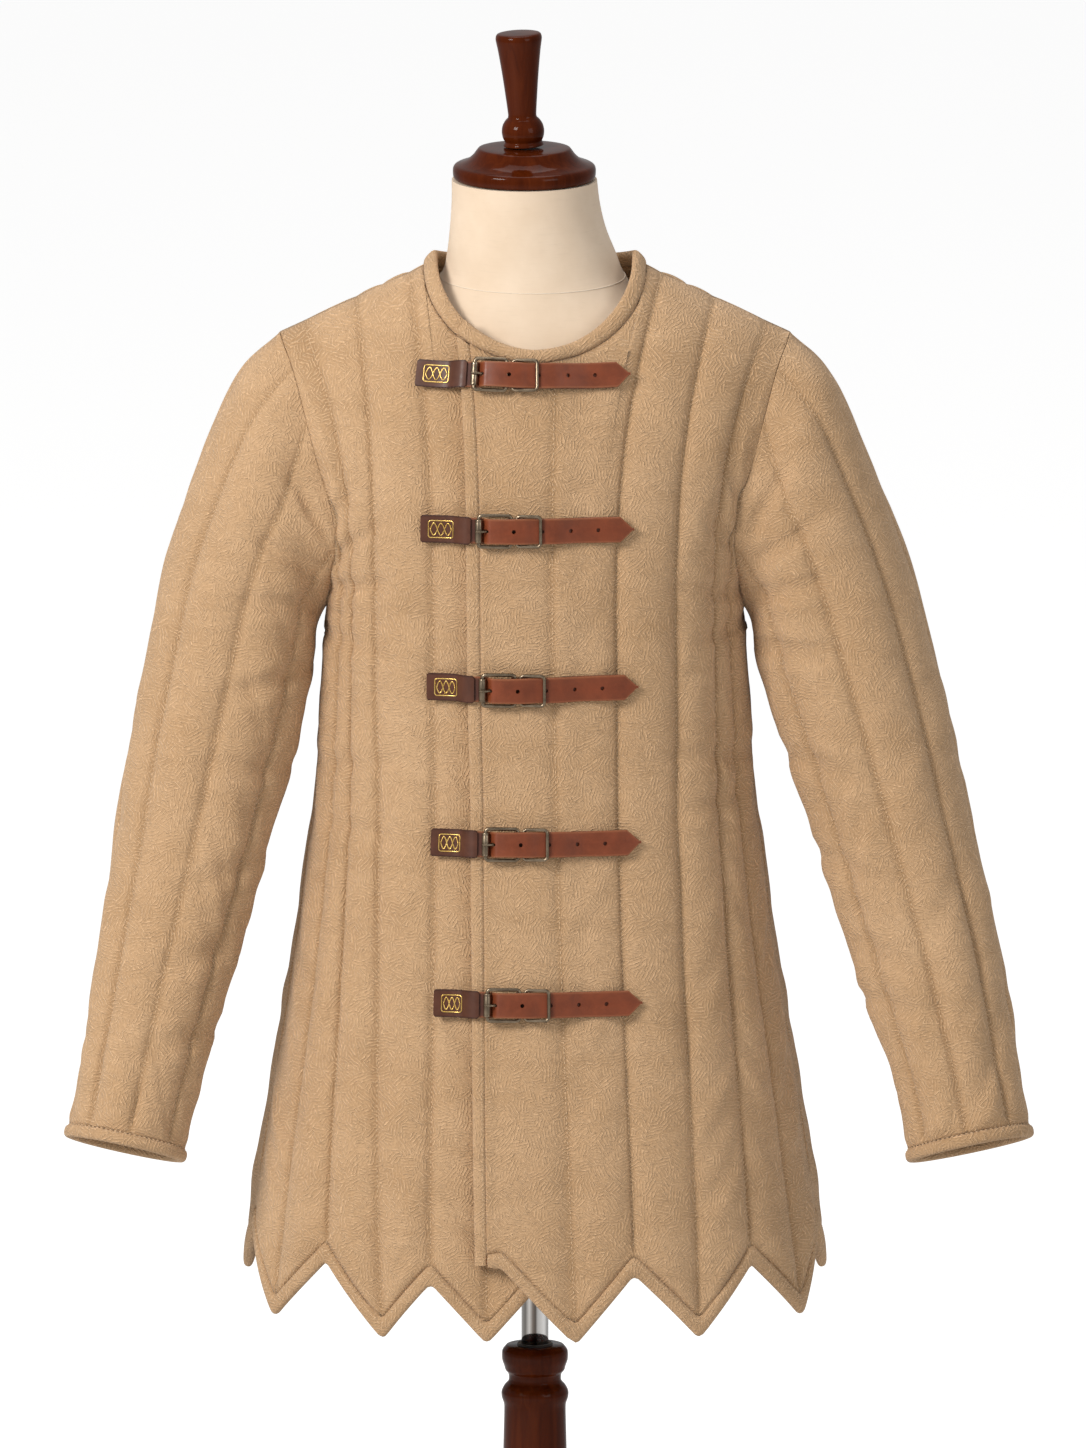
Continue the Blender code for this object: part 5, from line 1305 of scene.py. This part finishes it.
def knot_lines(length, height):
    """A generic interlace: a rounded frame and two waves that weave through it, as (along, across, lift)."""
    corner, lines = 0.0022, []
    frame_line = [(d, w, 0.0) for d, w, _ in
                  rounded_loop(-length / 2, length / 2, height / 2, corner, lambda d: 0.0, 5)]
    lines.append((frame_line, True))
    reach, swing = length / 2 - 0.0016, height / 2 - 0.0022
    t = np.linspace(-1, 1, 61)
    for k, phase in enumerate((0.0, math.pi)):
        across = swing * np.cos(1.5 * math.pi * t + phase)
        lift = 0.00030 * np.sin(1.5 * math.pi * t + k * math.pi)
        lines.append(([(reach * s, w, h) for s, w, h in zip(t, across, lift)], False))
    return lines


def closure(number, row):
    z, roller_x, patch = row["z"], row["roller_x"], row["patch"]
    label = f"_{number}"
    under = strap_height(roller_x, patch)

    def full(d):
        return STRAP_HALF * (1 - 0.02 * math.sin(d * 90))

    def pointed(tip):
        return lambda d: max(0.0006, min(STRAP_HALF, STRAP_HALF * (tip - d) / POINT))

    strap = strip_piece("strap_leather" + label, z, roller_x, -patch + 0.003, STRAP_TIP, under, STRAP_T,
                        lambda d: min(full(d), pointed(STRAP_TIP)(d)), strap_leather, ["strap" + label],
                        shade=0.0)
    holes = []
    for d, radius, stretch in [(sum(SLOT) / 2, 0.0019, 0.0022)] + [
            (HOLE_FIRST + k * HOLE_PITCH, 0.0019, 0.0) for k in range(4)]:
        a = on_row(z, roller_x + d - 0.001, float(under(d - 0.001)))
        b = on_row(z, roller_x + d + 0.001, float(under(d + 0.001)))
        along = unit(b - a)
        normal = normal_at(on_row(z, roller_x + d, 0.0))
        normal = unit(normal - along * (normal @ along))
        holes.append(((a + b) / 2, normal, along, radius, stretch))
    punch(strap, holes)

    start, stop, thickness = CHAPE
    strip_piece("chape_leather" + label, z, roller_x, start, stop,
                lambda d: cloth_height(roller_x + d, roller_x) + GAP, thickness, pointed(stop), chape_leather,
                ["chape" + label])

    def patch_half(d):
        corner = 0.0016
        near = min(d + patch, -PATCH_STOP - 0.001 - d)
        return PATCH_HALF - max(0.0, corner - math.sqrt(max(0.0, corner**2 - max(0.0, corner - near) ** 2)))

    strip_piece("patch_leather" + label, z, roller_x, -patch, -PATCH_STOP - 0.001,
                lambda d: under(d) + STRAP_T + GAP, PATCH_T, patch_half, patch_leather, ["patch" + label])

    length, height, thickness, offset = BADGE
    start = -patch + offset - length / 2 + 0.0015
    stop = min(-patch + offset + length / 2, -0.0238)
    middle, length = (start + stop) / 2, stop - start
    top = STRAP_T + PATCH_T + 2 * GAP
    parts = []
    for line, closed in knot_lines(length, height):
        path = [on_row(z, roller_x + middle + d, float(under(middle + d)) + top + h, w) for d, w, h in line]
        parts.append(tube(path, 0.00060, 8, closed))
    verts, faces = merged(parts)
    add_mesh("knot_motif" + label, verts, faces, gold, ["badge" + label])

    heights = curve((0.0, HINGE), (ROLLER_H, HINGE_H))
    loop = [on_row(z, roller_x + d, h, w) for d, w, h in rounded_loop(0.0, HINGE, FRAME_HALF, 0.0030, heights)]
    verts, faces = tube(loop, WIRE, 12, True)
    buckle = add_mesh("buckle_frame" + label, verts, faces, nickel, ["buckle" + label])
    turn_out(buckle.data)

    inner, outer, half = ROLLER
    axis = [on_row(z, roller_x, ROLLER_H, w) for w in (-half, half)]
    out = normal_at(on_row(z, roller_x, 0.0))
    run = unit(axis[1] - axis[0])
    aside = np.cross(run, out)
    turns = 2 * math.pi * np.arange(24) / 24
    circle = np.outer(np.cos(turns), out) + np.outer(np.sin(turns), aside)
    profile = [(0.0, inner), (0.0, outer - 0.0005), (0.0004, outer - 0.0001), (0.0012, outer),
               (0.0020, outer - 0.00025), (0.0028, outer), (2 * half - 0.0028, outer),
               (2 * half - 0.0020, outer - 0.00025),
               (2 * half - 0.0012, outer), (2 * half - 0.0004, outer - 0.0001), (2 * half, outer - 0.0005),
               (2 * half, inner)]
    rings_here = np.array([axis[0] + run * s + r * circle for s, r in profile])
    ring_mesh("roller_tube" + label, list(rings_here), nickel, ["roller" + label], closed=True)

    left_end, right_end, radius, half = KEEPER
    heights = curve((left_end, right_end), (HINGE_H, cloth_height(roller_x + right_end, roller_x) + 0.0070))
    keeper_line = rounded_loop(left_end, right_end, half, 0.0034, heights)
    loop = [on_row(z, roller_x + d, h, w) for d, w, h in keeper_line]
    verts, faces = tube(loop, radius, 12, True)
    keeper = add_mesh("keeper_loop" + label, verts, faces, nickel, ["keeper" + label])
    turn_out(keeper.data)

    keys = np.linspace(0, len(PRONG_PATH) - 1, 28)
    smooth = curve(np.arange(len(PRONG_PATH)), np.array(PRONG_PATH, float))(keys)
    path = [on_row(z, roller_x + d, h, w) for d, w, h in smooth]
    verts, faces = tube(path, PRONG_R, 10)
    prong = add_mesh("prong_pin" + label, verts, faces, nickel, ["prong" + label])
    turn_out(prong.data)


for number, row in enumerate(CLOSURES, 1):
    closure(number, dict(zip(CLOSURE_COLUMNS, row)))


# ---------------------------------------------------------------- form and stand
shape = table_curves(FORM, FORM_COLUMNS)
FORM_SIDES = 96
FORM_SEAM_Z, FORM_SEAM_TILT, FORM_SEAM_R = 1.4570, 0.0050, 0.0004
turns = 2 * math.pi * np.arange(FORM_SIDES) / FORM_SIDES
heights = np.concatenate([np.linspace(FORM[0][0], 0.80, 14)[:-1], np.linspace(0.80, FORM[-1][0], 120)])
form_rings = []
for z in heights:
    x = shape["centre"](z) + shape["width"](z) * np.cos(turns)
    y = np.where(np.sin(turns) < 0, shape["front"](z), shape["back"](z)) * np.sin(turns)
    form_rings.append(np.stack([x, y, np.full(FORM_SIDES, z)], axis=1))
ring_mesh("form_cover", form_rings, linen, ["form_torso"])
collar_z = FORM_SEAM_Z + FORM_SEAM_TILT * np.sin(turns)
collar = []
for a, z in zip(turns, collar_z):
    x = shape["centre"](z) + (shape["width"](z) + 0.0002) * math.cos(a)
    y = (shape["front"](z) if math.sin(a) < 0 else shape["back"](z)) * math.sin(a)
    collar.append((x, float(y) * 1.003, z))
verts, faces = tube(collar, FORM_SEAM_R, 6, True)
add_mesh("form_neck_seam", verts, faces, seam_thread, ())


NEAR_AXIS = 0.0004      # a turned profile ends this far off the axis, so small faces close it
FINIAL_FOOT = (NECK_CENTRE - 0.0006, 0, 1.5767)


def smooth_profile(profile, rounds=2):
    """Cuts the corners of a turned profile, keeping its ends."""
    points = [np.array(p, float) for p in profile]
    for _ in range(rounds):
        out = [points[0]]
        for a, b in zip(points[:-1], points[1:]):
            out += [a * 0.78 + b * 0.22, a * 0.22 + b * 0.78]
        out.append(points[-1])
        points = out
    return points


def turned(name, profile, material, node, place=(0, 0, 0), lean=0.0, sides=96):
    """A turned piece from its axis or, where the profile doesn't start there, closed on itself."""
    turns = 2 * math.pi * np.arange(sides) / sides
    rings = [np.stack([r * np.cos(turns), r * np.sin(turns), np.full(sides, z)], axis=1) for r, z in profile]
    c, s = math.cos(lean), math.sin(lean)
    turn = np.array([[c, 0, s], [0, 1, 0], [-s, 0, c]])
    rings = [ring @ turn.T + place for ring in rings]
    return ring_mesh(name, rings, material, [node], closed=profile[0][0] > NEAR_AXIS)


def solid_profile(profile):
    """The smoothed profile, started and ended just off the axis."""
    return [(max(float(r), NEAR_AXIS), float(z)) for r, z in smooth_profile(profile)]


turned("neck_cap_wood", solid_profile(CAP_PROFILE), wood, "neck_cap", (NECK_CENTRE, 0, 0))
turned("finial_wood", solid_profile(FINIAL_PROFILE), wood, "finial", FINIAL_FOOT, FINIAL_LEAN)
pole_top = FORM[0][0] - GAP
turned("pole_tube", [(NEAR_AXIS, POLE_FOOT), (POLE_R - 0.0008, POLE_FOOT), (POLE_R, POLE_FOOT + 0.0008),
                     (POLE_R, pole_top - 0.0004), (NEAR_AXIS, pole_top)], chrome, "pole")
inner, outer, height = BUSHING
low = COLUMN_TOP + GAP
turned("bushing_ring", [(inner, low), (outer, low), (outer, low + height * 0.6), (outer - 0.0006, low + height),
                        (inner, low + height)], black_plastic, "pole_bushing")
bored = [(NEAR_AXIS, POLE_FOOT - GAP), (BORE, POLE_FOOT - GAP), (BORE, COLUMN_TOP)]
turned("column_wood", bored + solid_profile(COLUMN_PROFILE), wood, "stand_column")
turned("base_wood", solid_profile(BASE_PROFILE), wood, "stand_base", sides=128)


# ---------------------------------------------------------------- floor, light and camera
AMBIENT = 0.40          # the even light from all round
FLOOR_GLOW = 0.62       # lifts the floor to the wall's white where the camera sees it
FLOOR_SIDE, FLOOR_NEAR, FLOOR_FAR, FLOOR_DROP = 60.0, -30.0, 90.0, -0.001
ELEVATION, DISTANCE = math.radians(11.0), 40.0
AIM = (0.0074, 0.0, 1.0367)
VIEW_HEIGHT = 1.332     # what the frame takes in at the stand, top to bottom
SENSOR = 24.0


def area_light(name, place, aim, size, power, colour=(1, 1, 1)):
    lamp = bpy.data.lights.new(name, "AREA")
    lamp.shape, lamp.size, lamp.size_y, lamp.energy, lamp.color = "RECTANGLE", size[0], size[1], power, colour
    obj = bpy.data.objects.new(name, lamp)
    obj.location = place
    bpy.context.scene.collection.objects.link(obj)
    obj.rotation_euler = (Vector(aim) - Vector(place)).to_track_quat("-Z", "Y").to_euler()
    return obj


floor_mesh = bpy.data.meshes.new("floor")
floor_mesh.from_pydata([(side * FLOOR_SIDE, y, FLOOR_DROP) for side, y in (
    (-1, FLOOR_NEAR), (1, FLOOR_NEAR), (1, FLOOR_FAR), (-1, FLOOR_FAR))], [], [(0, 1, 2, 3)])
floor = bpy.data.objects.new("floor", floor_mesh)
bpy.context.scene.collection.objects.link(floor)
pale = Nodes("floor_look")
seen = pale.node("LightPath").outputs["Is Camera Ray"]
floor_mesh.materials.append(pale.finish(Base_Color=(0.80, 0.80, 0.80, 1.0), Roughness=0.9,
                                        Specular_IOR_Level=0.1, Emission_Color=(1.0, 1.0, 1.0, 1.0),
                                        Emission_Strength=pale.math("MULTIPLY", seen, FLOOR_GLOW)))

world = bpy.data.worlds.new("studio")
bpy.context.scene.world = world
world.use_nodes = True
world.node_tree.nodes["Background"].inputs["Color"].default_value = (1.0, 1.0, 1.0, 1.0)
world.node_tree.nodes["Background"].inputs["Strength"].default_value = AMBIENT
bpy.context.scene.view_settings.view_transform = "Standard"

area_light("key", (-3.0, -3.1, 3.5), (0.0, 0.0, 0.95), (1.6, 1.6), 214, (1.0, 0.975, 0.94))
area_light("fill", (3.2, -3.4, 2.6), (0.0, 0.0, 1.1), (2.0, 2.0), 34)
area_light("top", (0.0, 0.6, 4.2), (0.0, 0.0, 1.2), (2.0, 2.0), 34)

camera = bpy.data.cameras.new("camera")
camera.sensor_fit, camera.sensor_height, camera.lens = "VERTICAL", SENSOR, SENSOR * DISTANCE / VIEW_HEIGHT
camera.clip_end = 300.0
camera_object = bpy.data.objects.new("camera", camera)
bpy.context.scene.collection.objects.link(camera_object)
back_off, rise_by = DISTANCE * math.cos(ELEVATION), DISTANCE * math.sin(ELEVATION)
camera_object.location = (AIM[0], AIM[1] - back_off, AIM[2] + rise_by)
camera_object.rotation_euler = (math.pi / 2 - ELEVATION, 0.0, 0.0)
bpy.context.scene.camera = camera_object
